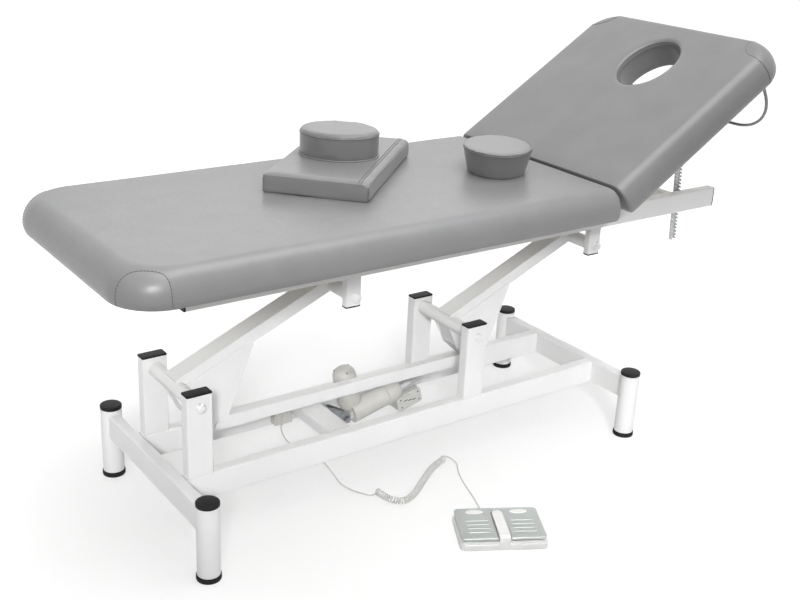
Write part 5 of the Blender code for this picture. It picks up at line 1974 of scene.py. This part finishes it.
    def _pedal(self, name: str, sign: float) -> None:
        """Make one pedal: rounded plate, four raised ribs and a low oval pad.

        Args:
            name: left or right.
            sign: -1 on the left, 1 on the right.
        """
        spot = placed((sign * self.pedal_x, self.back - self.pedal_depth / 2, self.pedal_z))
        place = self.place @ spot
        body = f"{name}_pedal"
        shape = self._pedal_plate(sign)
        section = [(-0.0026, 0.0), (0.0026, 0.0), (0.0016, 0.0011), (0.0, 0.0015), (-0.0016, 0.0011)]
        end = self.rib_half
        xs = (-end, -end + self.rib_slope, 0.0, end - self.rib_slope, end)
        for row in range(self.ribs):
            y = self.rib_first - self.rib_pitch * row
            path = [Vector((x, y, self.pedal_height - self.sunk)) for x in xs]
            rib = sweep(path, [UP] * len(path), section)
            for point in rib.points[:len(section)] + rib.points[-len(section):]:
                point.z = min(point.z, self.pedal_height)
            shape.add(rib)
        plate_piece = shape.moved(place)
        make_piece(f"pedal_{name}_plate", plate_piece, SILVER_PAINT, body, (f"pedal_{name}",))
        length, width = self.oval_size
        rings = [
            oval_ring(length - inset, width - inset, self.pedal_height + height, sides=40)
            for height, inset in ((-self.sunk, 0.0), (0.0004, 0.0), (0.0008, 0.0008), (0.0009, 0.003))
        ]
        oval = loft(rings).moved(place @ placed((0.0, self.oval_back, 0.0)))
        make_piece(f"pedal_{name}_oval", oval, WHITE_ABS, body)


def head_frame() -> Matrix:
    """Return the matrix from the head section's own frame, on its hinge, to the row frame."""
    return placed(JOINTS["head_tilt"]["pos_m"], -HEAD_REST, "Y")


def pads() -> tuple[Pad, FaceHolePad]:
    """Return the two pads of the bed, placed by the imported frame.

    Returns:
        The foot pad and the head pad.
    """
    foot_low, foot_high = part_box("foot_cushion")
    middle = (foot_low[1] + foot_high[1]) / 2
    proud = 0.009
    foot = Pad(
        name="foot_pad",
        node="foot_cushion",
        body="bed",
        place=Matrix.Translation((0.0, middle, foot_low[2])),
        start=foot_low[0] - proud,
        proud=proud,
        end=foot_high[0],
        start_corner=0.10,
        end_corner=0.010,
        start_reach=0.050,
        end_reach=0.011,
        start_power=2.1,
        end_power=2.0,
        seamed=(Corner.FOOT_FAR, Corner.FOOT_NEAR),
    )
    head = FaceHolePad(
        name="head_pad",
        node="head_cushion",
        body="head",
        place=head_frame() @ placed((0.0, 0.0, HEAD_UNDERSIDE)),
        start=0.0108,
        end=0.6208,
        start_corner=0.010,
        end_corner=0.085,
        start_reach=0.008,
        end_reach=0.026,
        start_power=2.0,
        end_power=2.0,
        seamed=(Corner.HEAD_NEAR, Corner.HEAD_FAR),
        seam_half=0.062,
        seam_shift=0.0,
        seam_top=1.16,
        steps=(44, 36, 20),
    )
    return foot, head


def main() -> None:
    """Build the studio and every sub-assembly, in order."""
    logging.basicConfig(level=logging.INFO, format="%(name)s: %(message)s")
    Studio().build()
    CurlyCord().build()
    CarriedNodes().dress()
    for pad in pads():
        pad.build()
    LoosePillow().build()
    FacePlug().build()
    TubeEnds().build()
    RatchetStrut().build()
    RollHolder().build(head_frame())
    Drive().build()
    FootSwitch().build()


if __name__ == "__main__":
    main()
